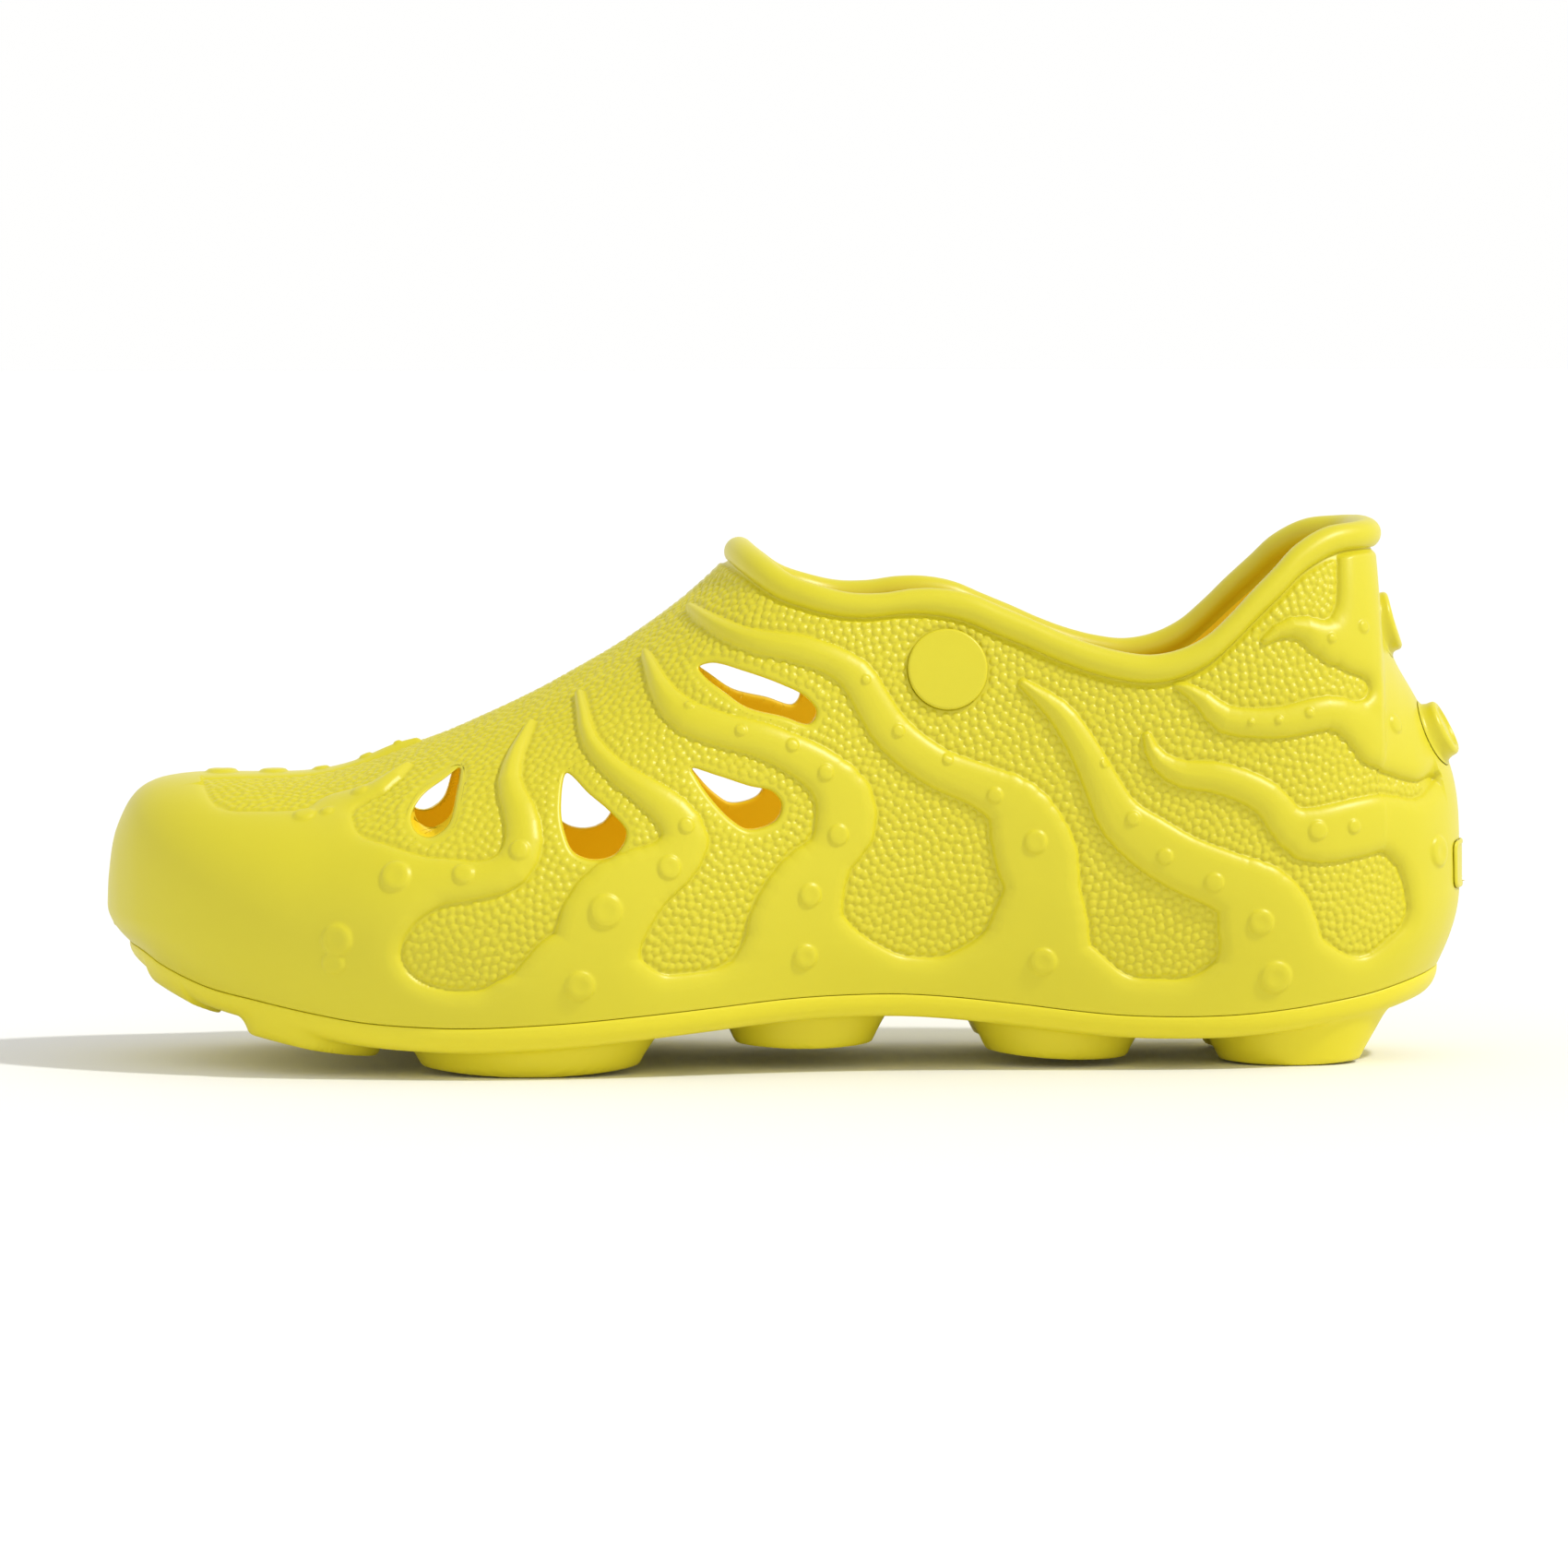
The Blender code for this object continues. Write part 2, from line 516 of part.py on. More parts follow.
def plate_t(x):
    """Thickness of the outsole plate, thinner under the toe."""
    return np.interp(x, [-140, -110], [4.0, SOLE_T])


def sole_z(x):
    """Underside of the outsole plate."""
    return parting(x) - plate_t(x) - 0.6 * np.exp(-((x + 62) / 40.0) ** 2)


def outsole_body():
    """The outsole's plate, without its lugs."""
    B, _ = edge_pairs(AROUND)
    along = np.roll(B, -1, 0) - np.roll(B, 1, 0)
    out = np.stack([along[:, 1], -along[:, 0]], -1)
    out /= np.linalg.norm(out, axis=1, keepdims=True)
    middle = np.stack([np.clip(B[:, 0], FRONT_X, BACK_X), 0 * B[:, 0]], -1)
    out *= np.sign(((B[:, :2] - middle) * out).sum(1))[:, None]
    thin = plate_t(B[:, 0]) / SOLE_T

    def edge_ring(inset, down):
        ring = B.copy()
        ring[:, :2] -= out * inset
        ring[:, 2] = parting(B[:, 0]) - down
        return ring

    top = edge_ring(0.0, GAP)
    edge = [edge_ring(-0.5, 0.9 * thin), edge_ring(-0.3, 2.2 * thin), edge_ring(0.9, 3.9 * thin),
            edge_ring(3.2, SOLE_T * thin)]
    upper_cap = cap_rings(top, lambda x: parting(x) - GAP, (1.0, 0.66, 0.33))
    lower_cap = cap_rings(edge[-1], sole_z, (0.33, 0.66, 1.0))
    return grid_body('outsole', upper_cap + [top] + edge + lower_cap)


def inside_sole(x, y, margin=2.2):
    """The point, drawn in where needed to lie inside the sole's edge."""
    k = 1 - TUCK
    reach = 0.5 * (HEEL_X - TOE_X) * k - 0.2
    xs = np.clip(x, MID_X - reach, MID_X + reach)
    xf = MID_X + (xs - MID_X) / k
    mid = axis_y(xf) * k
    room = np.where(y < mid, lateral(xf), medial(xf)) * k - margin
    return xs, np.clip(y, mid - room, mid + room)


def lug(name, x, y, rx, ry, foot, tilt, sides=22):
    """Truncated oval cone that runs up into the sole plate."""
    a = math.radians(tilt)
    rings = []
    for grow, up in ((0.0, 0.0), (0.8, 0.9)):
        o = oval(rx + grow, ry + grow, sides)
        rings.append([(x + u * math.cos(a) + up * math.sin(a), y + v,
                       foot - u * math.sin(a) + up * math.cos(a)) for u, v in o])
    o = oval(rx + LUG_SPREAD, ry + LUG_SPREAD, sides)
    px, py = inside_sole(x + o[:, 0], y + o[:, 1])
    rings.append(list(zip(px, py, sole_z(px) - 0.3)))
    rings.append(list(zip(px, py, parting(px) - 1.8)))
    bm = bmesh.new()
    made = [[bm.verts.new(tuple(c * MM for c in p)) for p in ring] for ring in rings]
    for lo, hi in zip(made[:-1], made[1:]):
        for j in range(sides):
            k = (j + 1) % sides
            bm.faces.new((lo[j], lo[k], hi[k], hi[j]))
    bm.faces.new(made[0])
    bmesh.ops.triangulate(bm, faces=[bm.faces.new(made[-1])])
    bmesh.ops.recalc_face_normals(bm, faces=bm.faces)
    return add_mesh(name, bm)


def footbed_body(foot):
    """Insole lying on the inner floor, a little smaller than the floor's edge."""
    centre = spine_ring(foot, floor_z)
    reach = foot - centre
    r = np.linalg.norm(reach[:, :2], axis=1, keepdims=True)

    def under_z(x):
        return floor_z(x) + GAP

    def top_z(x):
        return under_z(x) + FOOTBED_T

    def edge_ring(inset, z_of, rise):
        ring = centre.copy()
        ring[:, :2] += reach[:, :2] * (1 - inset / r)
        ring[:, 2] = z_of(ring[:, 0]) + rise
        return ring

    low = edge_ring(1.6, under_z, 1.2)
    mid = edge_ring(1.6, top_z, 1.2)
    lip = edge_ring(3.4, top_z, 1.0)
    under = cap_rings(low, under_z, (1.0, 0.6, 0.3, 0.06))
    over = cap_rings(lip, top_z, (0.1, 0.4, 1.0))
    return grid_body('footbed', under + [low, mid, lip] + over)


def paint(obj, rgb, roughness):
    """Plain foam colour; the foam has no metal in it."""
    mat = bpy.data.materials.new(obj.name)
    mat.use_nodes = True
    bsdf = mat.node_tree.nodes['Principled BSDF']
    bsdf.inputs['Base Color'].default_value = (*rgb, 1.0)
    bsdf.inputs['Roughness'].default_value = roughness
    bsdf.inputs['Metallic'].default_value = 0.0
    obj.data.materials.clear()
    obj.data.materials.append(mat)


def upper_shell():
    """The upper with its raised tentacles and its vents, and the edge of its inner floor."""
    rings, foot = upper_rings(Wall(AROUND))
    shell = grid_body('upper_shell', rings)
    for piece in tentacle_strips():
        combine(shell, piece, 'UNION')
    for piece in vent_cutters():
        combine(shell, piece, 'DIFFERENCE')
    return shell, foot


def heel_point(z):
    """Point of the heel's back and its normal, where a stud or the plate sits."""
    p = hit(np.array([[90.0, ROUND_Y, z]]), np.array([[1.0, 0.0, 0.0]]))[0]
    return p, wide_normal(p)


def fittings(shell):
    """Badge, studs and plate, each in its own seat in the shell."""
    p = side_point(*BADGE_XZ, -1)
    made = [fitting('side_badge', p, normal(p), BADGE_RX, BADGE_RZ, BADGE_T - SEAT, stem=True)]
    for name, z, r in (('heel_stud_upper', STUD_UPPER_Z, STUD_UPPER_R),
                       ('heel_stud_lower', STUD_LOWER_Z, STUD_LOWER_R)):
        made.append(fitting(name, *heel_point(z), r, r, STUD_PROUD, stem=True))
    made.append(fitting('heel_plate', *heel_point(PLATE_Z), PLATE_W / 2, PLATE_H / 2, PLATE_PROUD,
                        power=PLATE_POWER))
    for _, cutter in made:
        combine(shell, cutter, 'DIFFERENCE')
    return [body for body, _ in made]


def outsole():
    """The outsole's plate with its twelve lugs."""
    sole = outsole_body()
    for i, spec in enumerate(LUGS):
        combine(sole, lug('add_lug_%02d' % (i + 1), *spec), 'UNION')
    return sole


shell, floor_edge = upper_shell()
trims = fittings(shell)
sole = outsole()
bed = footbed_body(floor_edge)
for obj in bpy.data.objects:
    obj.location = (CENTRE[0] * MM, CENTRE[1] * MM, 0.0)

YELLOW = (0.86, 0.70, 0.07)
paint(shell, YELLOW, 0.48)
paint(sole, (0.84, 0.68, 0.07), 0.5)
paint(bed, (0.86, 0.52, 0.04), 0.7)
for trim in trims:
    paint(trim, YELLOW, 0.42)
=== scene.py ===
import math

import bpy
import numpy as np
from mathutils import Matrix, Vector, kdtree
from numpy.linalg import norm


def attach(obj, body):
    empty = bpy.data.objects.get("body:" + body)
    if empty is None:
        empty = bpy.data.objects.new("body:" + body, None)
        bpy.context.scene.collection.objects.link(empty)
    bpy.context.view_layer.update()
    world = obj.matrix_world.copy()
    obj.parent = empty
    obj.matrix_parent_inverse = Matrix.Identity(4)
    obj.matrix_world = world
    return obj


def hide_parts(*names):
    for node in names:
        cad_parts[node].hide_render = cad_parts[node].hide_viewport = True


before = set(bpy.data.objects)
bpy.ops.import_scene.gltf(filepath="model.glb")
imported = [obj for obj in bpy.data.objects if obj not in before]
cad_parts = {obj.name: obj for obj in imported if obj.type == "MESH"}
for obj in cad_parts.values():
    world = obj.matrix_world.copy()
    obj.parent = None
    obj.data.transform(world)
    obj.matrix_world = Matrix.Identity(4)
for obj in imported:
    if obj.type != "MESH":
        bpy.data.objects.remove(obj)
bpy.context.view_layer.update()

MM = 0.001
GAP = 0.3  # clearance between neighbouring pieces
WALL = 5.0  # wall of the upper
RIM_WALL = 3.6  # wall just under the collar bead
BEAD_R = 3.3  # rolled collar bead
BEAD_INSET = 1.0  # bead centre lies this far inside the outer face
FLOOR_T = 4.0  # inner floor of the upper
FOOTBED_T = 5.0  # insole
TUCK = 0.033  # how far the wall draws in from its widest level to the parting line
MID_X = -1.5  # middle of the length
HEEL_X, TOE_X = 148.999, -151.999  # ends of the form's level sections
FRONT_X, BACK_X = -112, 116  # ends of the middle line that floors and soles close on
CENTRE = (0.35, 2.7)  # from the form's long axis to the middle of the footprint
SOLE_T = 5.2  # sole plate, without the lugs
SOLE_ROUND = 3.4  # rounded edge of the sole
RELIEF_H = 2.2  # smooth raised skin above the pebbled ground
RELIEF_S = 3.0  # width of its rounded shoulder
RELIEF_CROWN = 6.5  # width of the slight crown above the shoulder
STUD_FOOT = 1.3  # flare at a stud's foot
GROOVE = 0.5  # crease under the collar bead
SEAT_DEEP = 0.75  # recess under the fittings
PEBBLE_PITCH = 1.95  # middle to middle
PEBBLE_R = 0.96  # round pebbles on the ground between the smooth parts
PEBBLE_H = 0.42
PEBBLE_SEED = 5
VENT_LIP = 1.2  # rolled edge round the vents
VENT_GROW = 1.0  # the rolled edge lies this far outside the open hole
VENT_POINTS = 150  # round each vent's edge
VENT_REACH = 20  # a vent's faces lie this close to its middle
OUTER_STOP = 3.1  # the outer face ends this far below the collar's edge line
INNER_STOP = 2.1  # and the inner face this far
FOOT_RISE = 1.2  # the inner face turns into the floor this far above it
SEAT_GAP = 0.3  # under the fittings

# mesh density: points round the upper, rows of its outer face, collar bead and inner face, and
# points round the sole and rings of its underside
AROUND, ROWS, BEAD_ROWS, INNER_ROWS = ((2300, 330, 26, 90))
SOLE_AROUND, SOLE_ROWS = ((1200, 74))

# plan of the widest level, as half widths from the long axis: (x, half width)
TOE_TIP = [(-152, 0), (-151.5, 6.7), (-150.5, 11.5), (-149, 16.1)]
HEEL_ROUND = [
    (108, 38.4), (120, 35), (130, 30.6), (138, 25), (144, 17.7), (147, 11.5), (148.5, 5.8), (149, 0)]
LATERAL = TOE_TIP + [
    (-145, 24.1), (-138, 32.8), (-128, 41), (-115, 48), (-100, 53), (-85, 56), (-70, 57.5), (-55, 57.5),
    (-40, 55.8), (-25, 52.5), (-10, 48.5), (5, 44.8), (20, 42), (35, 40.3), (50, 39.6), (65, 39.8),
    (80, 40.2), (95, 40)] + HEEL_ROUND
MEDIAL = TOE_TIP + [
    (-145, 23.5), (-138, 31), (-128, 38.5), (-115, 45), (-100, 49.5), (-85, 52), (-70, 53), (-55, 52.5),
    (-40, 50.3), (-25, 47), (-10, 43.5), (5, 40.8), (20, 39), (35, 38.2), (50, 38.2), (65, 38.8),
    (80, 39.6), (95, 39.8)] + HEEL_ROUND
AXIS = [(-152, 6), (-130, 4), (-100, 1), (-70, 0), (149, 0)]
# side profile of the crown; past the collar it runs on as the ankle form the collar is cut from
CROWN = [
    (-152, 34), (-151.7, 40.5), (-150.5, 49), (-149, 53.3), (-147, 57.2), (-144.5, 60), (-141, 61.9),
    (-136, 63), (-130, 63.5), (-118, 63.6), (-106, 64), (-101, 64.7), (-93.5, 66.5), (-85.5, 69),
    (-77, 72), (-65, 77.3), (-56.5, 81.4), (-48.5, 85.8), (-40, 90.7), (-32, 96), (-24, 102),
    (-16, 109.2), (-10.5, 115), (-4, 121), (4, 127), (18, 133.5), (35, 138), (60, 141), (90, 142),
    (108, 140), (118, 136), (124, 130), (127.5, 122), (128.8, 112), (129.8, 99.5), (134, 88.5),
    (138, 81.5), (142, 74.5), (145, 69), (147.2, 63.5), (148.6, 56), (149, 40)]
WIDEST = [(-152, 34), (-120, 30), (-65, 25), (0, 30), (60, 28), (110, 32), (149, 38)]
PARTING = [
    (-152, 26.8), (-146, 25.8), (-143.5, 24.8), (-140, 22.7), (-130, 18.7), (-119, 16.4), (-107, 14.1),
    (-96, 12.4), (-84, 11.6), (-72, 11.4), (-52, 12.4), (-35, 13.8), (-18.5, 15.3), (-5, 16.6),
    (6, 17.2), (21, 17.3), (32, 16.6), (48, 14.8), (59, 13.4), (70, 12.3), (81, 11.9), (95, 12.1),
    (108.5, 13.3), (117, 14.5), (126, 16), (135, 18.2), (140, 19.5), (149, 22)]
RIM = [
    (-16, 116), (-8.5, 109.8), (-3, 106), (3.5, 103.7), (10, 102.2), (17, 102), (24, 102.8),
    (30.5, 102.7), (37, 101.4), (43.5, 98.7), (50.5, 95.8), (57, 92.9), (63.5, 90.5), (70.5, 88.7),
    (77, 88), (83.5, 89.2), (89.5, 92.1), (95, 96.8), (100, 101.8), (105.5, 107), (110.5, 111.8),
    (117.5, 115.6), (124.5, 116.6), (131, 116.8)]

# through-vents, outlines in side view (x, z)
VENTS = [
    [(-74.2, 66.4), (-78, 64.2), (-83, 60.5), (-85.2, 56.3), (-84, 53.2), (-81, 52.1),
     (-77, 54.6), (-75, 60.5)],
    [(-51.2, 66.1), (-46.2, 61.8), (-41.7, 58), (-38.2, 53.5), (-40.4, 49), (-45.2, 47.5),
     (-49.9, 49.1), (-52, 53.5), (-52.7, 59.3)],
    [(-23.9, 67.1), (-18.3, 65.7), (-11.7, 63.5), (-6.2, 62), (-4.2, 59), (-5.7, 55.4),
     (-11.8, 53.6), (-15.4, 55.6), (-19, 59.2), (-22.4, 63.8)],
    [(-22.1, 88.4), (-19.1, 89.6), (-11.6, 87.8), (-4, 85.1), (1.1, 82.5), (3.7, 79),
     (2, 76.2), (-4, 77.8), (-11.8, 79.8), (-16.7, 83.1), (-20.8, 86.3)],
]
# fittings set into the wall: plan of each on the surface
BADGE_XZ, BADGE_RX, BADGE_RZ, BADGE_T = (32.3, 88.0), 8.8, 9.0, 3.2
STUD_UPPER_Z, STUD_UPPER_R = 96.2, 6.7
STUD_LOWER_Z, STUD_LOWER_R = 72.0, 6.5
STUD_PROUD = 3.4
PLATE_Z, PLATE_W, PLATE_H, PLATE_PROUD = 43.0, 15.0, 10.6, 1.3
ROUND_Y = -6.0  # the studs and the plate sit this far round to the outer side of the heel


def smooth_curve(points, per_span=24):
    """Centripetal Catmull-Rom curve through the points, as a dense polyline."""
    p = np.asarray(points, float)
    ext = np.vstack([2 * p[0] - p[1], p, 2 * p[-1] - p[-2]])
    out = []
    for p0, p1, p2, p3 in zip(ext, ext[1:], ext[2:], ext[3:]):
        t0 = 0.0
        t1 = t0 + max(norm(p1 - p0), 1e-9) ** 0.5
        t2 = t1 + max(norm(p2 - p1), 1e-9) ** 0.5
        t3 = t2 + max(norm(p3 - p2), 1e-9) ** 0.5
        t = np.linspace(t1, t2, per_span, endpoint=False)[:, None]

        def mix(a, b, ta, tb):
            return (tb - t) / (tb - ta) * a + (t - ta) / (tb - ta) * b

        a1, a2, a3 = mix(p0, p1, t0, t1), mix(p1, p2, t1, t2), mix(p2, p3, t2, t3)
        out.append(mix(mix(a1, a2, t0, t2), mix(a2, a3, t1, t3), t1, t2))
    return np.vstack(out + [p[-1:]])


def table(points):
    """Smooth function of x through the points."""
    dense = smooth_curve(points)
    xs = np.maximum.accumulate(dense[:, 0])
    return lambda x: np.interp(x, xs, dense[:, 1])


lateral, medial, axis_y = table(LATERAL), table(MEDIAL), table(AXIS)
crown, widest, parting, rim_z = table(CROWN), table(WIDEST), table(PARTING), table(RIM)


def up_power(x):
    """How full the section is toward the crown."""
    return np.interp(x, [-150, -110, -50, 0, 60], [2.5, 2.4, 2.2, 2.3, 2.6])


def side_power(x):
    """How full the section is toward the side."""
    return np.interp(x, [-150, -110, -50, 0, 60], [2.2, 2.3, 2.0, 2.0, 2.0])


def field(P):
    """Below zero inside the outer form of the upper, above zero outside."""
    x, y, z = P[..., 0], P[..., 1], P[..., 2]
    drop = np.clip((widest(x) - z) / (widest(x) - parting(x)), 0, 1.4)
    k = 1 - TUCK * drop * drop
    xs, ys = MID_X + (x - MID_X) / k, y / k
    past = np.maximum(np.maximum(xs - HEEL_X, TOE_X - xs), 0)
    xc = np.clip(xs, TOE_X, HEEL_X)
    dy = ys - axis_y(xc)
    w = np.where(dy < 0, lateral(xc), medial(xc)) + 1e-6
    h = np.maximum(crown(xc) - widest(xc), 1e-3)
    side = np.abs(dy) / w
    up = np.maximum(z - widest(xc), 0) / h
    return (side ** side_power(xc) + up ** up_power(xc)) ** (1 / 2.2) - 1 + past


def hit(O, D):
    """Where unit rays D from inside points O leave the outer form."""
    lo, hi = np.zeros(O.shape[:-1]), np.full(O.shape[:-1], 260.0)
    for _ in range(34):
        mid = 0.5 * (lo + hi)
        inside = field(O + D * mid[..., None]) < 0
        lo, hi = np.where(inside, mid, lo), np.where(inside, hi, mid)
    return O + D * (0.5 * (lo + hi))[..., None]


def normal(P):
    """Outward unit normal of the outer form."""
    g = np.stack([field(P + step) - field(P - step) for step in 0.05 * np.eye(3)], -1)
    return g / np.maximum(norm(g, axis=-1, keepdims=True), 1e-12)


def unit(v):
    """Vectors of length 1."""
    return v / norm(v, axis=-1, keepdims=True)


def heel_point(y, z):
    """Point of the heel's back."""
    return hit(np.array([[90.0, y, z]]), np.array([[1.0, 0.0, 0.0]]))[0]


def wide_normal(p, r=4.0):
    """Normal of the heel's back at p, averaged over a patch of radius r."""
    _, y, z = p
    n = np.cross(heel_point(y + r, z) - heel_point(y - r, z), heel_point(y, z + r) - heel_point(y, z - r))
    return n / norm(n)


def sample(curve, at, s):
    """Points of a polyline at some lengths, where s holds the length at each corner."""
    return np.stack([np.interp(at, s, c) for c in curve.T], -1)


def by_length(curve, n):
    """Resample a polyline to n points evenly along its length."""
    s = np.concatenate([[0], np.cumsum(norm(np.diff(curve, axis=0), axis=1))])
    return sample(curve, np.linspace(0, s[-1], n), s)


ARC = np.cos(np.linspace(0, math.pi, 400))


def sole_half(width, sign):
    """Half of the sole's edge, toe to heel, at the parting line."""
    xs = MID_X - 0.5 * (HEEL_X - TOE_X) * ARC
    k = 1 - TUCK
    x = MID_X + (xs - MID_X) * k
    y = (axis_y(xs) + sign * width(xs)) * k
    return np.stack([x, y, parting(x)], -1)


def rim_half(width, sign):
    """Half of the collar's edge on the outer form, front to back."""
    xs = np.linspace(-16, 130, 4000)
    open_ = crown(xs) > rim_z(xs) + 0.02
    x0, x1 = xs[open_][0], xs[open_][-1]
    x = 0.5 * (x0 + x1) - 0.5 * (x1 - x0) * ARC
    z = rim_z(x)
    up = np.clip((z - widest(x)) / (crown(x) - widest(x)), 0, 1)
    y = axis_y(x) + sign * width(x) * np.maximum(1 - up ** up_power(x), 0) ** 0.5
    return np.stack([x, y, z], -1)


def edge_pairs(n):
    """n matching points round the sole edge and the collar edge, starting at the toe."""
    u = np.linspace(0, 1, n // 2 + 1)
    v = np.interp(u, [0, 0.15, 0.3, 0.45, 0.62, 0.8, 1], [0, 0.075, 0.155, 0.26, 0.42, 0.68, 1])
    share = np.linspace(0, 1, 2001)
    sole, rim = [], []
    for width, sign in ((lateral, -1), (medial, 1)):
        sole.append(sample(by_length(sole_half(width, sign), len(share)), u, share))
        rim.append(sample(by_length(rim_half(width, sign), len(share)), v, share))
    return np.vstack([sole[0], sole[1][-2:0:-1]]), np.vstack([rim[0], rim[1][-2:0:-1]])


# raised tentacles in side view, root to tip: (x, z, half width)
TENTACLES = [
    [(-101, 59.5, 4.4), (-95.4, 61.1, 3.6), (-91.3, 62.6, 3), (-85.5, 66.1, 0.8)],
    [(-98, 45, 6), (-93, 43.5, 5.6), (-87, 43, 5.4), (-78, 43.4, 4.8), (-70, 43.7, 3.8),
     (-63.6, 46, 3.9), (-60.8, 51.5, 3.8), (-61.5, 57.8, 3.3), (-63.6, 63.4, 2.5), (-62.3, 69, 1.8),
     (-58.4, 75.6, 0.8)],
    [(-49, 17, 15.5), (-47.5, 22.5, 11.5), (-45.5, 27.5, 9), (-44, 33.2, 9.4), (-40.6, 38.8, 8.8),
     (-35, 43.4, 6.8), (-28.8, 47, 5.2), (-25.6, 51.8, 4.8), (-27.8, 57, 4), (-33.8, 62, 3.1),
     (-40.2, 66.4, 2.3), (-45.9, 72.6, 1.7), (-47.7, 81.9, 0.8)],
    [(2.5, 14, 18), (1, 24, 13), (-1.3, 31.1, 11), (1.3, 41, 8), (6.5, 48.4, 5.2), (9.3, 53.4, 6.4),
     (9.4, 59.8, 6.2), (4.9, 65.8, 4.7), (-7.1, 72.5, 3.7), (-16.5, 75.1, 3.6), (-25, 78.1, 3.6),
     (-29.8, 83, 2.4), (-33, 90.6, 0.8)],
    [(51, 14, 18), (51, 23.6, 12.4), (52.2, 30.1, 10.8), (52.8, 40.8, 8), (51.9, 45.9, 8.8),
     (49.9, 51.9, 8.2), (46.9, 58.2, 6.1), (39.4, 62.7, 4.5), (29.5, 66.9, 4.1), (19.8, 74.6, 4),
     (15.7, 81, 3.8), (12.5, 86.4, 3.6), (8.1, 89.6, 3.1), (-0.3, 92.6, 3), (-10.6, 94.4, 2.4),
     (-17.7, 97.2, 1.8), (-23, 100.5, 0.8)],
    [(105.5, 14, 16), (104.5, 22.2, 12), (102.2, 32, 10.6), (99.5, 37.6, 8.2), (94.6, 40.9, 6.5),
     (83.4, 45.8, 5.9), (76.8, 49.9, 5.7), (70.1, 55.3, 4.7), (66.1, 62.6, 3.7), (62.1, 70.6, 3),
     (56.7, 78.6, 2.4), (48.9, 84.9, 0.8)],
    [(141, 48.5, 9), (130.4, 53.6, 6), (124, 52.9, 6.2), (111.5, 51.6, 5.5), (106.7, 54.1, 4),
     (103, 59, 3.5), (98.3, 61.9, 3.3), (91.4, 64.3, 3.1), (82.9, 65.4, 2.6), (77.8, 68.8, 1.7),
     (75.9, 73.4, 0.7)],
    [(137, 70, 7), (131.8, 70.9, 6.6), (128.1, 72, 6), (122.9, 75.7, 4.3), (117.6, 78.1, 3.4),
     (112.4, 77.6, 3.3), (106.4, 76.3, 3.1), (99.6, 76.1, 2.9), (92.7, 77.2, 2.7), (87.7, 81.8, 1.7),
     (82.8, 84.6, 0.7)],
    [(128, 94.5, 7), (124, 94.5, 6.6), (119.6, 93.3, 5.4), (115, 94.4, 3.7), (110.2, 96.8, 2.3),
     (105.7, 96.3, 1.4), (102.1, 94, 0.6)],
]
# the middle tentacle along the top of the toe: (x, half width)
TOP_TENTACLE = [(-136, 9.5), (-128, 8.2), (-115, 6.5), (-104, 5), (-96.5, 3.6), (-89, 2), (-83, 0.8)]
# smooth toe cap and smooth heel, outlines in side view
TOE_CAP = [
    (-170, 90), (-131, 90), (-130.8, 66), (-130.6, 61.6), (-127.6, 57.9), (-118, 57.3), (-107.7, 57.9),
    (-101, 58.6), (-98.6, 56.6), (-97.6, 54), (-95.4, 51.8), (-90.5, 50.2), (-84, 46), (-81.5, 39.5),
    (-84.6, 34.8), (-87.6, 30), (-88, 25), (-86.5, 20), (-83.5, 14), (-82, 6), (-82, -10), (-170, -10)]
HEEL_CAP = [
    (119.2, 140), (119.5, 112), (119.5, 100.6), (121, 95), (123.1, 88.5), (126, 86), (127.1, 83.2),
    (126, 79), (129, 74), (133, 68), (137, 65.4), (140.5, 65), (142.6, 64), (143.6, 62.6), (143, 61.2),
    (141, 58.8), (138.5, 55), (137, 50), (135.8, 41), (136.2, 31), (133, 24.5), (131, 10), (131, -10),
    (170, -10), (170, 140)]
BAND = 6.6  # smooth band above the parting line
# round suckers on the tentacles: (x, z, radius)
SUCKERS = [
    (-88.2, 43.7, 3.7), (-73.7, 44.4, 2.6), (-61.6, 49.3, 2.5), (-101.2, 30.5, 4), (-102, 25.4, 3),
    (-29.6, 45.9, 2.9), (-43.4, 36.8, 4.1), (-25.7, 54.6, 1.9), (-48.8, 20.8, 3.7), (-24, 79.7, 1.2),
    (-13.3, 74.7, 1.4), (-2.3, 71.7, 1.6), (4.9, 65.8, 2), (7.5, 52.4, 2.6), (1.2, 39.5, 2.9),
    (0.5, 26, 3.1), (14.1, 85.6, 1.2), (21.1, 74.6, 1.6), (32, 68.5, 1.4), (42.3, 60.6, 2),
    (51.3, 50.5, 2.9), (53, 24.2, 3.4), (66.7, 67.6, 1.2), (72.7, 55.5, 1.8), (79.6, 47.2, 2),
    (90.3, 41.5, 2.4), (100.6, 32.7, 3.2), (104.2, 20.4, 4.1), (112.9, 52.6, 2.4), (121.3, 53.2, 1.8),
    (142.4, 46.5, 3.9), (132.1, 75, 2.4), (116.4, 94.1, 1.2), (124, 96.5, 1.6), (-108.3, 56.6, 2.7),
    (-103.3, 57.2, 1.6), (-96, 60.9, 2), (98.4, 76.3, 0.8), (104.5, 76.7, 1), (111.2, 78.2, 1.2)]
TOP_SUCKERS = [(-126.5, 4), (-115, 3.5), (-104.5, 2.1), (-94.5, 1.7), (-87, 1)]

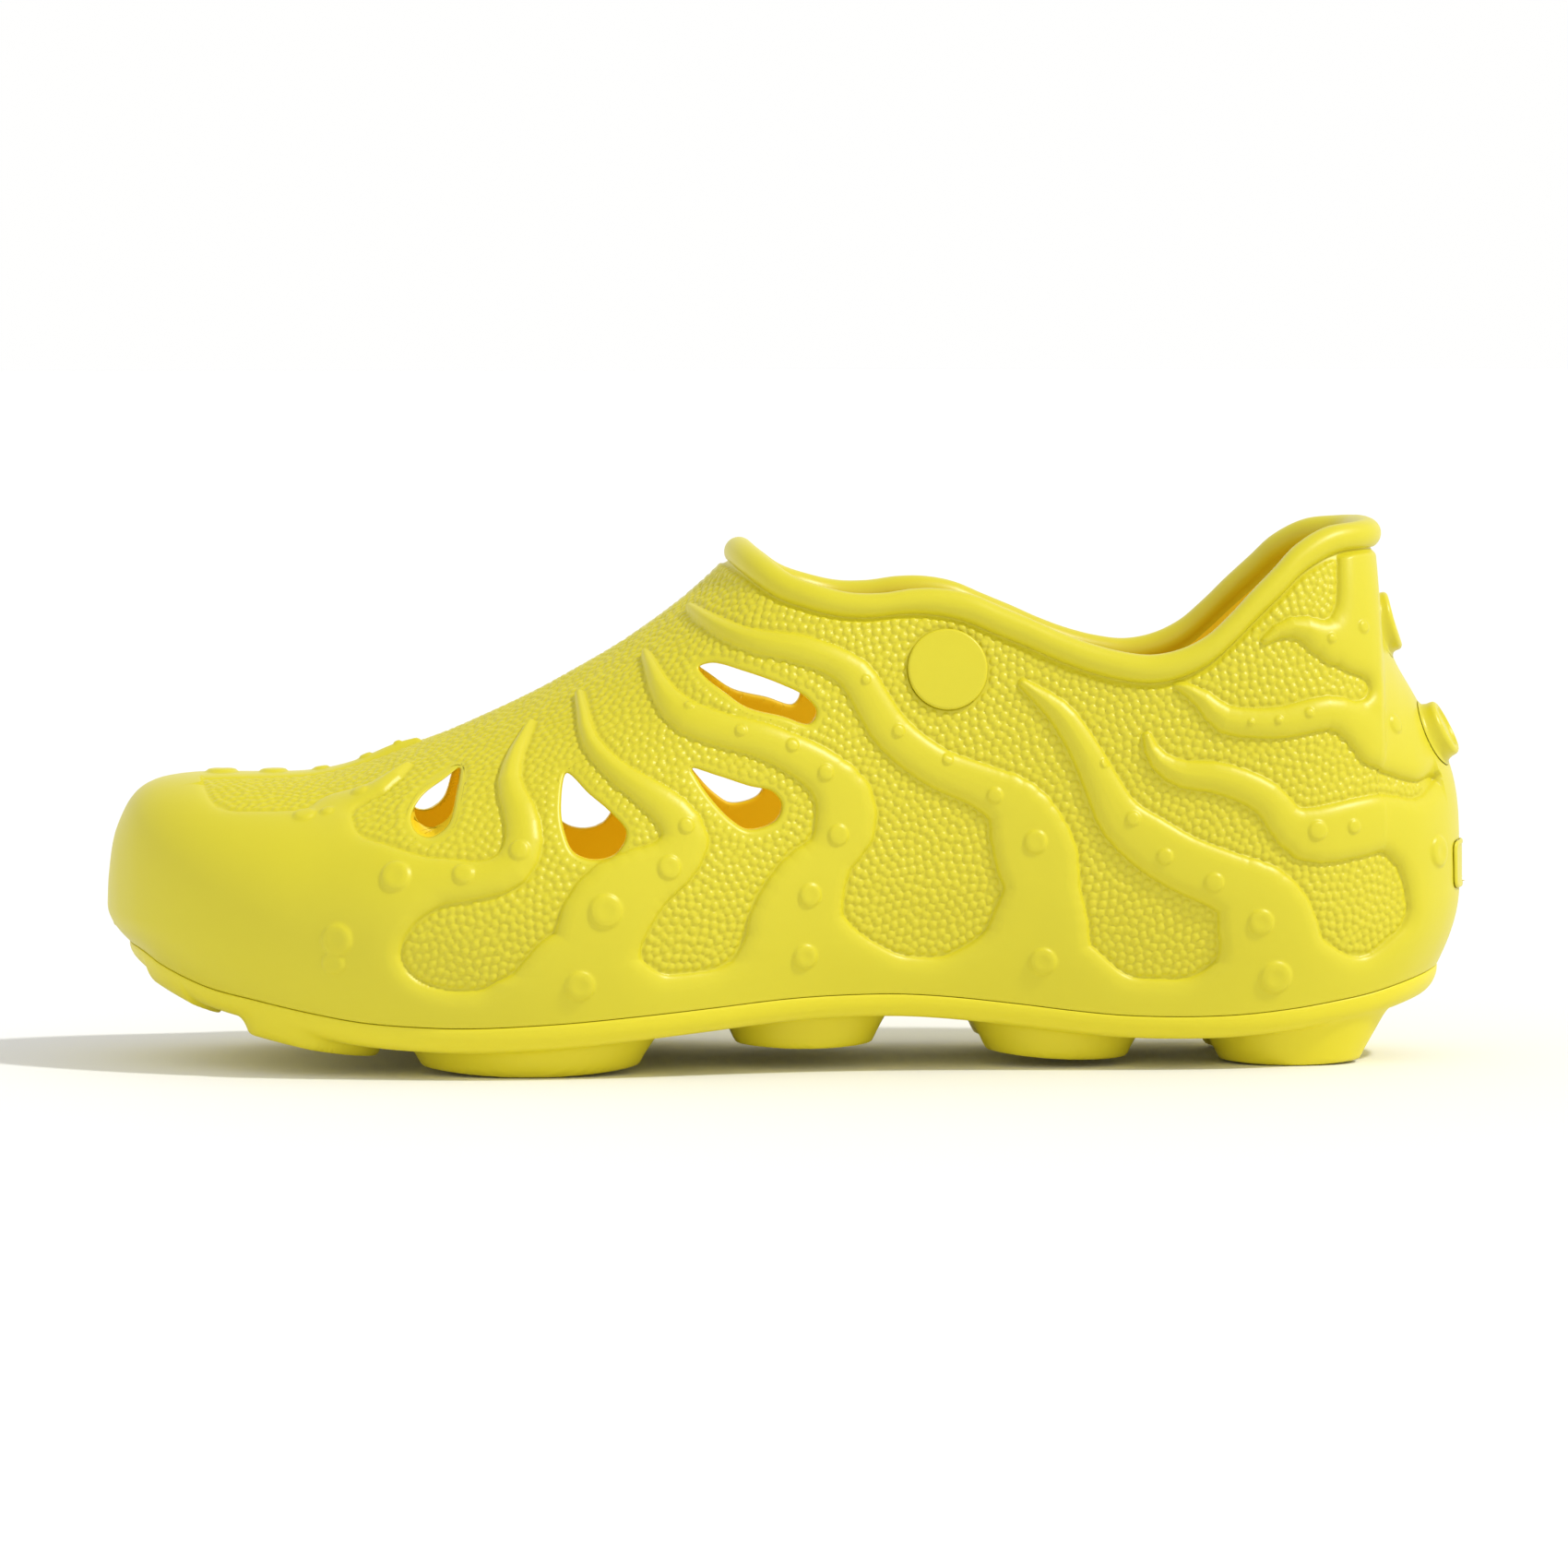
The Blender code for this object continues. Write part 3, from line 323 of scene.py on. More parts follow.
# lugs: x, y, half length and half width of the foot, its z, its tilt in degrees with the rise of
# the toe, and how much lower its middle is than its ends
LUGS = [
    (-136, -16, 8.6, 8, 15.6, 24, 0), (-136, 21.5, 8.6, 8, 15.6, 24, 0),
    (-106.5, -31.5, 13.5, 11, 5.6, 10, 0.4), (-106.5, 29, 13.5, 11, 5.6, 10, 0.4),
    (-59, -35, 23, 13.5, 0.0, 0, 1.5), (-59, 31.5, 23, 13.5, 0.0, 0, 1.5),
    (1.5, -22.5, 14.5, 11, 4.6, 0, 0.6), (1.5, 20, 14.5, 10, 4.6, 0, 0.6),
    (57.5, -19.5, 15, 11, 1.8, 3, 0.6), (57.5, 18.5, 15, 10.5, 1.8, 3, 0.6),
    (109.5, -17.5, 15, 10.5, 0.0, 0, 0.6), (109.5, 17.5, 15, 10.5, 0.0, 0, 0.6)]
LUG_DRAFT = 0.42  # run out for each millimetre of height


def wall_grid(n, m):
    """Points of the outer form from the sole edge (row 0) to the collar edge (last row)."""
    B, R = edge_pairs(n)
    t = np.linspace(0, 1, 160)[None, :, None]
    Q = B[:, None] * (1 - t) + R[:, None] * t
    ox = np.clip(B[:, :1] * 0.72, -104, 108)
    orx = np.clip(R[:, :1] * 0.9, 16, 100)
    low = np.concatenate([ox, 0 * ox, np.interp(ox, [-110, 0, 110], [30, 26, 26])], 1)
    high = np.concatenate([orx, 0 * orx, 0 * orx + 62], 1)
    O = low[:, None] * (1 - t) + high[:, None] * t
    S = hit(np.broadcast_to(O, Q.shape).copy(), unit(Q - O))
    S[:, 0], S[:, -1] = B, R
    return np.stack([by_length(S[i], m) for i in range(n)], 1)


def smoothstep(a, b, x):
    """From 0 at a to 1 at b, level at both ends."""
    t = np.clip((x - a) / (b - a), 0, 1)
    return t * t * (3 - 2 * t)


def blend_max(a, b, k):
    """Larger of the two, with a rounded join k wide."""
    h = np.clip(0.5 + 0.5 * (a - b) / k, 0, 1)
    return b + (a - b) * h + k * h * (1 - h)


def blend_min(a, b, k):
    """Smaller of the two, with a rounded join k wide."""
    return -blend_max(-a, -b, k)


def side_points(xz, sign):
    """Points of the outer form seen at (x, z) from one side."""
    xz = np.asarray(xz, float)
    O = np.stack([xz[:, 0], axis_y(xz[:, 0]), xz[:, 1]], -1)
    return hit(O, np.tile([0.0, float(sign), 0.0], (len(O), 1)))


def top_points(x):
    """Points of the outer form straight above the long axis."""
    O = np.stack([x, axis_y(x), 0 * x + 34], -1)
    return hit(O, np.tile([0.0, 0.0, 1.0], (len(O), 1)))


def spread(points):
    """Smooth path through rows of (x, z, half width), a point every 3 mm."""
    dense = smooth_curve(points, 10)
    length = norm(np.diff(dense[:, :2], axis=0), axis=1).sum()
    return by_length(dense, max(4, int(length / 3.0)))


def chain_depth(P, path, w, reach=9.0):
    """How deep P is inside a row of cones along the path; negative outside."""
    out = np.full(len(P), -reach)
    lo, hi = path.min(0) - w.max() - reach, path.max(0) + w.max() + reach
    idx = np.nonzero(((P > lo) & (P < hi)).all(1))[0]
    Q, best = P[idx], np.full(len(idx), -reach)
    for a, b, wa, wb in zip(path[:-1], path[1:], w[:-1], w[1:]):
        d = b - a
        t = np.clip(((Q - a) @ d) / max(d @ d, 1e-9), 0, 1)
        r = norm(Q - a - t[:, None] * d, axis=1)
        best = np.maximum(best, wa + t * (wb - wa) - r)
    out[idx] = best
    return out


def in_outline(x, z, poly):
    """True where (x, z) lies inside the outline."""
    inside = np.zeros(len(x), bool)
    for (xi, zi), (xj, zj) in zip(poly, np.roll(poly, 1, 0)):
        if zi != zj:
            inside ^= ((zi > z) != (zj > z)) & (x < (xj - xi) * (z - zi) / (zj - zi) + xi)
    return inside


def region_depth(P, corners, sign, reach=9.0):
    """Signed depth inside a region of the side view, measured on the surface of one side."""
    dense = smooth_curve(corners + [corners[0]], 6)
    x, z = dense.T
    on_form = np.nonzero((np.abs(x) < 147) & (z < crown(x) - 1.0) & (z > 5))[0]
    inside = in_outline(P[:, 0], P[:, 2], dense)
    out = np.where(inside, reach, -reach)
    for run in np.split(on_form, np.nonzero(np.diff(on_form) > 1)[0] + 1):
        if len(run) < 2:
            continue
        line = side_points(dense[run], sign)
        near = -chain_depth(P, line, np.zeros(len(line)), reach)
        out = np.where(inside, np.minimum(out, near), np.maximum(out, -near))
    return out


def smooth_depth(P):
    """Signed depth inside the smooth raised skin: tentacles, band, toe cap and heel."""
    x, y, z = P.T
    depth = np.full(len(P), -9.0)
    for sign in (-1, 1):
        side = np.nonzero((y - axis_y(x)) * sign > -14)[0]
        Q = P[side]
        d = np.full(len(Q), -9.0)
        for points in TENTACLES:
            path = spread(points)
            d = blend_max(d, chain_depth(Q, side_points(path, sign), path[:, 2]), 4.0)
        cap = blend_max(region_depth(Q, TOE_CAP, sign), region_depth(Q, HEEL_CAP, sign), 1.0)
        d = blend_max(d, cap, 5.0)
        depth[side] = np.maximum(depth[side], d)
    top = spread([(a, 0.0, w) for a, w in TOP_TENTACLE])
    depth = blend_max(depth, chain_depth(P, top_points(top[:, 0]), top[:, 2]), 2.5)
    band = np.clip(parting(x) + BAND - z, -9, 9)
    return blend_max(depth, band, 13.0)


def relief_share(P):
    """The relief is shallower on top of the toe."""
    x, y, z = P.T
    return 1 - 0.55 * smoothstep(44, 56, z) * smoothstep(-86, -100, x)


def near_spot(P, c, reach):
    """Indices of the points in a cube round c."""
    return np.nonzero((np.abs(P - c) < reach).all(1))[0]


def sucker_height(P):
    """Low round buttons; the larger ones have a dished middle."""
    out = np.zeros(len(P))
    side, top = np.array(SUCKERS), np.array(TOP_SUCKERS)
    spots = list(zip(top_points(top[:, 0]), top[:, 1]))
    for sign in (-1, 1):
        spots += zip(side_points(side[:, :2], sign), side[:, 2])
    for c, r in spots:
        idx = near_spot(P, c, r + 1)
        d = norm(P[idx] - c, axis=1) / r
        h = 0.35 + 0.13 * r
        dome = h * np.sqrt(np.clip(1 - d ** 2.6, 0, 1)) * smoothstep(1.0, 0.75, d)
        dish = 0.22 * h * smoothstep(0.55, 0.1, d) * smoothstep(2.4, 3.2, r)
        out[idx] = np.maximum(out[idx], dome - dish)
    return out


def datum(P):
    """Share of the relief height that the form already includes."""
    x, y, z = P.T
    low = 1 - smoothstep(0, 28, z - parting(x))
    toe = 1 - smoothstep(-112, -84, x)
    heel = smoothstep(112, 136, x)
    return 1 - (1 - low) * (1 - toe) * (1 - heel)


def shoulder(depth):
    """Height of the raised skin at a depth inside its edge: a round shoulder, then a slight crown."""
    t = np.clip(depth / RELIEF_S, 0, 1)
    crowned = np.clip(depth / RELIEF_CROWN, 0, 1)
    return RELIEF_H * (0.62 * np.sqrt(1 - (1 - t) ** 2) + 0.38 * np.sqrt(1 - (1 - crowned) ** 2))


def fitting_spots():
    """Centre, normal, half sizes, squareness and flared foot of each fitting, by node."""
    p = side_points([BADGE_XZ], -1)
    spots = {'side_badge': (p[0], normal(p)[0], BADGE_RX, BADGE_RZ, 2.0, 0.0)}
    at_heel = (('heel_stud_upper', STUD_UPPER_Z, STUD_UPPER_R, STUD_UPPER_R, 2.0, STUD_FOOT),
               ('heel_stud_lower', STUD_LOWER_Z, STUD_LOWER_R, STUD_LOWER_R, 2.0, STUD_FOOT),
               ('heel_plate', PLATE_Z, PLATE_W / 2, PLATE_H / 2, 6.0, 0.0))
    for node, z, *shape in at_heel:
        q = heel_point(ROUND_Y, z)
        spots[node] = (q, wide_normal(q), *shape)
    return spots


SPOTS = fitting_spots()


def frame_at(n):
    """Axes across, up and out of the surface, as columns."""
    z = n / norm(n)
    x = np.cross([0, 0, 1.0], z)
    x /= norm(x)
    return np.stack([x, np.cross(z, x), z], 1)


def oval_share(u, rx, rz, power):
    """Below 1 inside an oval, 1 on its edge."""
    return (np.abs(u[:, 0] / rx) ** power + np.abs(u[:, 1] / rz) ** power) ** (1 / power)


def seat_depth(P):
    """Recess under each fitting."""
    out = np.zeros(len(P))
    for c, n, rx, rz, power, foot in SPOTS.values():
        idx = near_spot(P, c, max(rx, rz) + 4)
        room = foot - 0.35
        e = (oval_share((P[idx] - c) @ frame_at(n), rx + room, rz + room, power) - 1) * min(rx, rz)
        out[idx] = np.maximum(out[idx], SEAT_DEEP * smoothstep(0.3, 0.0, e))
    return out


def vent_outline(points, n):
    """Outer line of a vent's rolled edge."""
    o = smooth_closed(points, n)
    return o + outward(o) * VENT_GROW


def vent_margin(P):
    """Distance outside the nearest vent's outline, in side view, large away from vents."""
    out = np.full(len(P), 9.0)
    for pts in VENTS:
        o = vent_outline(pts, 60)
        xz = P[:, [0, 2]]
        idx = np.nonzero(((xz > o.min(0) - 4) & (xz < o.max(0) + 4)).all(1))[0]
        q = xz[idx]
        d, _ = outline_distance(q, o)
        out[idx] = np.minimum(out[idx], np.where(in_outline(*q.T, o), -d, d))
    return out


def smooth_closed(points, n):
    """Closed smooth outline through the points, n samples."""
    p = np.asarray(points, float)
    dense = smooth_curve(np.vstack([p[-2:], p, p[:3]]))
    dense = dense[2 * 24:(2 + len(p)) * 24 + 1]
    return by_length(dense, n + 1)[:-1]


def outline_distance(q, o):
    """Distance from points q to a closed outline, and the nearest point on it."""
    best, at = np.full(len(q), 1e9), np.zeros((len(q), 2))
    for a, b in zip(o, np.roll(o, -1, 0)):
        d = b - a
        t = np.clip(((q - a) @ d) / max(d @ d, 1e-12), 0, 1)[:, None]
        c = a + t * d
        r = norm(q - c, axis=1)
        better = r < best
        best[better], at[better] = r[better], c[better]
    return best, at


def pebble_seeds(P, area, ok, rng):
    """Evenly spread seeds over the points where ok holds."""
    cell = PEBBLE_PITCH * 0.84
    grid, seeds = {}, []
    pick = np.nonzero(ok)[0]
    pts = P[pick[rng.permutation(len(pick))]]
    keys = np.floor(pts / cell).astype(int)
    around = [(a, b, c) for a in (-1, 0, 1) for b in (-1, 0, 1) for c in (-1, 0, 1)]
    r2 = cell * cell
    for p, k in zip(pts.tolist(), keys.tolist()):
        if not any((p[0] - q[0]) ** 2 + (p[1] - q[1]) ** 2 + (p[2] - q[2]) ** 2 < r2
                   for a, b, c in around for q in grid.get((k[0] + a, k[1] + b, k[2] + c), ())):
            grid.setdefault(tuple(k), []).append(p)
            seeds.append(p)
    seeds = np.array(seeds)
    w, Q = area[ok], P[ok]
    for _ in range(4):
        own, _ = nearest(Q, seeds)
        total = np.bincount(own, w, len(seeds)) + 1e-9
        seeds = np.stack([np.bincount(own, w * Q[:, i], len(seeds)) / total for i in range(3)], -1)
    return seeds[norm(seeds, axis=1) > 1]


def nearest(Q, seeds):
    """Index of the nearest seed to each point, and how far it is."""
    tree = kdtree.KDTree(len(seeds))
    for i, s in enumerate(seeds.tolist()):
        tree.insert(s, i)
    tree.balance()
    index, dist = np.array([tree.find(q)[1:] for q in Q.tolist()]).T
    return index.astype(int), dist


def pebble_height(P, depth, edge, area, rng):
    """Round pebbles over the ground between the smooth parts."""
    zone = (depth < 0.5) & (edge > 0.0)
    _, d = nearest(P[zone], pebble_seeds(P, area, (depth < -0.5) & (edge > 0.6), rng))
    out = np.zeros(len(P))
    out[zone] = PEBBLE_H * np.sqrt(np.clip(1 - (d / PEBBLE_R) ** 2, 0, 1))
    return out


def grid_area(G):
    """Area round each point of a ring grid."""
    v = norm(np.diff(G, axis=0), axis=-1)
    return norm(np.roll(G, -1, 1) - G, axis=-1) * np.vstack([v, v[-1:]])


def add_object(name, data):
    """New object in the scene."""
    obj = bpy.data.objects.new(name, data)
    bpy.context.scene.collection.objects.link(obj)
    return obj


def new_object(name, V, quads, tris, slots=None):
    """Smooth-shaded mesh object from arrays in millimetres, moved to the part's frame."""
    V = V * MM + np.array([*CENTRE, 0]) * MM
    mesh = bpy.data.meshes.new(name)
    mesh.vertices.add(len(V))
    mesh.vertices.foreach_set('co', V.astype(np.float32).ravel())
    loops = np.append(quads, tris)
    mesh.loops.add(len(loops))
    mesh.loops.foreach_set('vertex_index', loops.astype(np.int32))
    sizes = np.repeat([4, 3], [len(quads), len(tris)])
    mesh.polygons.add(len(sizes))
    mesh.polygons.foreach_set('loop_start', (np.cumsum(sizes) - sizes).astype(np.int32))
    mesh.polygons.foreach_set('use_smooth', np.ones(len(sizes), bool))
    if slots is not None:
        mesh.polygons.foreach_set('material_index', slots.astype(np.int32))
    mesh.update(calc_edges=True)
    mesh.validate()
    return add_object(name, mesh)


def ring_quads(rings, n):
    """Quads between successive rings of n points."""
    i = np.arange(rings - 1)[:, None] * n
    j = np.arange(n)[None]
    k = (j + 1) % n
    return np.stack([i + j, i + k, i + n + k, i + n + j], -1).reshape(-1, 4)


def spine_ring(ring, z_of):
    """Middle line of a ring, one point for each of the ring's points."""
    n = len(ring)
    mirror = ring[(-np.arange(n)) % n]
    x = np.clip(0.5 * (ring[:, 0] + mirror[:, 0]), FRONT_X, BACK_X)
    return np.stack([x, axis_y(x), z_of(x)], -1)


def cap_rings(ring, z_of, steps):
    """Rings that fill a ring's inside; step 0 is the ring and step 1 its middle line."""
    line, out = spine_ring(ring, z_of), []
    for s in steps:
        p = ring * (1 - s) + line * s
        p[:, 2] = (1 - s) ** 2 * (ring[:, 2] - z_of(ring[:, 0])) + z_of(p[:, 0])
        out.append(p)
    return out


def floor_z(x):
    """Top of the upper's inner floor."""
    return parting(x) + FLOOR_T


def footbed_z(x):
    """Underside of the footbed."""
    return floor_z(x) + GAP


def zip_loops(A, B, V):
    """Triangles that join two closed loops of vertex indices running the same way round."""
    start = norm(V[B] - V[A[0]], axis=1).argmin()
    B = np.roll(B, -start)
    ta, tb = [np.cumsum(np.append(0, norm(V[np.roll(c, -1)] - V[c], axis=1))) for c in (A, B)]
    ta, tb = ta / ta[-1], tb / tb[-1]
    tris, i, j, na, nb = [], 0, 0, len(A), len(B)
    while i < na or j < nb:
        a, b = A[i % na], B[j % nb]
        if j >= nb or (i < na and ta[i + 1] <= tb[j + 1]):
            i += 1
            tris.append((a, A[i % na], b))
        else:
            j += 1
            tris.append((a, B[j % nb], b))
    return np.array(tris)


def one_patch(quads, gone):
    """The largest group of the faces marked gone that meet edge to edge."""
    by_edge, links = {}, {f: [] for f in gone.tolist()}
    for f, q in zip(gone.tolist(), quads[gone].tolist()):
        for a, b in zip(q, q[1:] + q[:1]):
            there = by_edge.setdefault((min(a, b), max(a, b)), [])
            for g in there:
                links[f].append(g)
                links[g].append(f)
            there.append(f)
    best = []
    while links:
        patch, stack = [], [min(links)]
        while stack:
            f = stack.pop()
            if f in links:
                patch.append(f)
                stack += links.pop(f)
        best = max(best, patch, key=len)
    return np.array(sorted(best))


def hole_loop(quads, gone):
    """Ordered boundary loop round the quads marked gone, in the direction of the kept faces."""
    edges = {(a, b) for q in quads[gone].tolist() for a, b in zip(q, q[1:] + q[:1])}
    after = {b: a for a, b in edges if (b, a) not in edges}
    loop = [min(after)]
    v = after[loop[0]]
    while v != loop[0] and len(loop) < len(after) + 5:
        loop.append(v)
        v = after[v]
    return np.array(loop)


def clean_faces(quads):
    """Quads with a repeated corner turned into triangles and flat ones dropped; which are whole."""
    same = np.stack([quads[:, i] == quads[:, (i + 1) % 4] for i in range(4)], -1)
    diag = (quads[:, 0] == quads[:, 2]) | (quads[:, 1] == quads[:, 3])
    whole = (same.sum(1) == 0) & ~diag
    tris = []
    for r in np.nonzero((same.sum(1) == 1) & ~diag)[0]:
        i = int(np.nonzero(same[r])[0][0])
        tris.append([quads[r, k] for k in range(4) if k != (i + 1) % 4])
    return quads[whole], np.array(tris, int).reshape(-1, 3), whole


def merge_ends(V, n):
    """Vertex lookup that joins points of the first and the last ring where they coincide."""
    lookup = np.arange(len(V))
    for ring in (range(n), range(len(V) - n, len(V))):
        seen = {}
        for i in ring:
            lookup[i] = seen.setdefault(tuple(np.round(V[i], 4)), i)
    return lookup


def ring_body(name, rings, inside_out=False):
    """Closed body from rings that start and end collapsed onto a line or a point."""
    V, n = np.concatenate(rings), len(rings[0])
    quads = ring_quads(len(rings), n)
    if inside_out:
        quads = quads[:, ::-1]
    good, tri, _ = clean_faces(merge_ends(V, n)[quads])
    return new_object(name, V, good, tri)


class Shell:
    """The upper's grid, with what its outer face, inner face and collar bead are made from."""

    def __init__(self, n, m):
        self.n = n
        self.G = wall_grid(n, m)
        N = normal(self.G[1:-1])
        N = np.concatenate([N[:1], N, N[-1:]])
        N[-1] = normal(self.G[-1] - 0.02 * N[-1])
        self.N = N
        self.L = norm(np.diff(self.G, axis=0), axis=2).sum(0)
        self.T = unit(self.G[-1] - self.G[-4])
        self.nr = unit(N[-1] - (N[-1] * self.T).sum(-1, keepdims=True) * self.T)

    def at(self, dist):
        """Point and normal of the wall at a distance along each column."""
        m = len(self.G)
        f = np.clip(dist / self.L * (m - 1), 0, m - 1 - 1e-6)
        i = f.astype(int)
        t = (f - i)[:, None]
        j = np.arange(self.n)
        p = self.G[i, j] * (1 - t) + self.G[i + 1, j] * t
        q = self.N[i, j] * (1 - t) + self.N[i + 1, j] * t
        return p, unit(q)

    def bead(self):
        """Rings of the rolled collar, from the outer face over the top to the inner face."""
        centre = self.G[-1] - self.nr * BEAD_INSET
        return [centre + BEAD_R * (math.cos(a) * self.nr + math.sin(a) * self.T)
                for a in np.radians(np.linspace(-70, 217, BEAD_ROWS))]

    def inner(self):
        """Rings of the inner face, from the collar down to just above the floor."""
        above = np.argmax(self.G[..., 2] > floor_z(self.G[..., 0]) + 1.0, axis=0)
        bottom = above / (len(self.G) - 1) * self.L
        rings = []
        for g in np.linspace(0.985, 0, INNER_ROWS):
            p, q = self.at(bottom + (self.L - INNER_STOP - bottom) * g)
            rings.append(p - (WALL + (RIM_WALL - WALL) * smoothstep(0.86, 1.0, g)) * q)
        rings[-1][:, 2] = floor_z(rings[-1][:, 0]) + FOOT_RISE
        return rings


def lift(P, edge):
    """Height of the raised skin, suckers and seats over the form, and the depth inside the skin."""
    depth = smooth_depth(P)
    h = relief_share(P) * (shoulder(depth) - RELIEF_H * datum(P))
    h += sucker_height(P) * smoothstep(0.0, 1.5, depth)
    return h * edge - seat_depth(P), depth


def skin_height(P, area, to_collar):
    """Height of the finished outer face over the form, with the pebbles and the collar's crease."""
    h, depth = lift(P, smoothstep(0.0, 2.2, to_collar))
    margin = np.minimum(vent_margin(P), to_collar - 0.6)
    for c, out, rx, rz, power, _ in SPOTS.values():
        u = (P - c) @ frame_at(out)
        clear = (oval_share(u, rx, rz, power) - 1) * min(rx, rz) - 0.2
        margin = np.where(np.abs(u[:, 2]) < 14, np.minimum(margin, clear), margin)
    pebbles = pebble_height(P, depth, margin, area, np.random.default_rng(PEBBLE_SEED))
    h = np.maximum(h, h - relief_share(P) * shoulder(depth) + pebbles)
    return h - GROOVE * smoothstep(1.7, 0.2, to_collar)


def skin_points(xz, sign):
    """Points of the outer face seen at (x, z) from one side, without the pebbles."""
    p = side_points(xz, sign)
    h, _ = lift(p, np.ones(len(p)))
    return p + normal(p) * h[:, None]


def inner_side_points(xz, sign):
    """Points of the inner face seen at (x, z) from one side."""
    q = np.array(xz, float)
    for _ in range(6):
        p = side_points(q, sign)
        s = p - normal(p) * WALL
        q += 0.8 * (np.asarray(xz) - s[:, [0, 2]])
    return s


def outward(o):
    """Outward unit normals of a closed outline."""
    d = unit(np.roll(o, -1, 0) - np.roll(o, 1, 0))
    out = np.stack([d[:, 1], -d[:, 0]], -1)
    return out if in_outline(*(o[:1] - 0.05 * out[:1]).T, o)[0] else -out


def shrink(o, s):
    """Outline moved in by s, less where it turns sharply."""
    a, b = np.roll(o, 4, 0), np.roll(o, -4, 0)
    area = np.abs((a[:, 0] - o[:, 0]) * (b[:, 1] - o[:, 1]) - (a[:, 1] - o[:, 1]) * (b[:, 0] - o[:, 0]))
    r = (norm(a - o, axis=1) * norm(b - o, axis=1)
         * norm(a - b, axis=1)) / (2 * area + 1e-6)
    amount = np.minimum(s, 0.55 * r * s / VENT_LIP)
    for _ in range(10):
        amount = 0.5 * amount + 0.25 * (np.roll(amount, 1) + np.roll(amount, -1))
    return o - outward(o) * amount[:, None]


def turn(o):
    """Twice an outline's area, negative when it runs the other way round."""
    return np.sum(o[:, 0] * np.roll(o[:, 1], -1) - np.roll(o[:, 0], -1) * o[:, 1])


def vent_tube(o, sign):
    """Rings of a vent's wall: over the rolled edge, then straight through to the inner face."""
    tube = []
    for phi in np.radians([14, 32, 50, 70, 90]):
        q = skin_points(shrink(o, VENT_LIP * math.sin(phi)), sign)
        q[:, 1] -= sign * VENT_LIP * (1 - math.cos(phi))
        tube.append(q)
    rolled = tube[-1]
    inner = inner_side_points(shrink(o, VENT_LIP), sign)
    inner[:, [0, 2]] = rolled[:, [0, 2]]
    for t in (0.2, 0.4, 0.6, 0.8):
        tube.append(rolled * (1 - t) + (inner + [0, sign * 0.7, 0]) * t)
    tube.append(inner + [0, sign * 0.25, 0])
    return tube


def open_vents(V, quads, slots, faces):
    """Cut the vents through both faces of the wall and line them; triangles come back apart."""
    centres = V[quads].mean(1)
    drop = np.zeros(len(quads), bool)
    walls, wall_slots, tris, tri_slots = [], [], [], []
    for points in VENTS:
        o = vent_outline(points, VENT_POINTS)
        last = shrink(o, VENT_LIP - 0.7)
        for sign in (-1, 1):
            near = (centres[:, 1] - axis_y(centres[:, 0])) * sign > 0
            near &= (np.abs(centres[:, [0, 2]] - o.mean(0)) < VENT_REACH).all(1)
            loops = []
            for face, shape in zip(faces, (o, last)):
                at = np.nonzero(face & near)[0]
                gone = one_patch(quads, at[in_outline(centres[at, 0], centres[at, 2], shape)])
                drop[gone] = True
                loops.append(hole_loop(quads, gone))
            a, b = loops
            a_turn = turn(V[a][:, [0, 2]])
            V[a] = skin_points(outline_distance(V[a][:, [0, 2]], o)[1], sign)
            V[b] = inner_side_points(outline_distance(V[b][:, [0, 2]], last)[1], sign)
            tube = vent_tube(o, sign)
            if turn(o) * a_turn < 0:
                tube = [ring[::-1] for ring in tube]
            if turn(V[b][:, [0, 2]]) * a_turn < 0:
                b = b[::-1]
            start = len(V)
            V = np.concatenate([V] + tube)
            ids = start + np.arange(len(tube) * VENT_POINTS).reshape(len(tube), -1)
            ends = [zip_loops(a, ids[0], V)[:, ::-1], zip_loops(ids[-1], b, V)[:, ::-1]]
            tris += ends
            tri_slots += [np.full(len(end), slot) for slot, end in enumerate(ends)]
            wall = start + ring_quads(len(tube), VENT_POINTS)[:, [0, 3, 2, 1]]
            walls.append(wall)
            wall_slots.append((np.arange(len(wall)) >= 6 * VENT_POINTS).astype(int))
    quads = np.concatenate([quads[~drop]] + walls)
    slots = np.concatenate([slots[~drop]] + wall_slots)
    return V, quads, slots, np.concatenate(tris), np.concatenate(tri_slots)


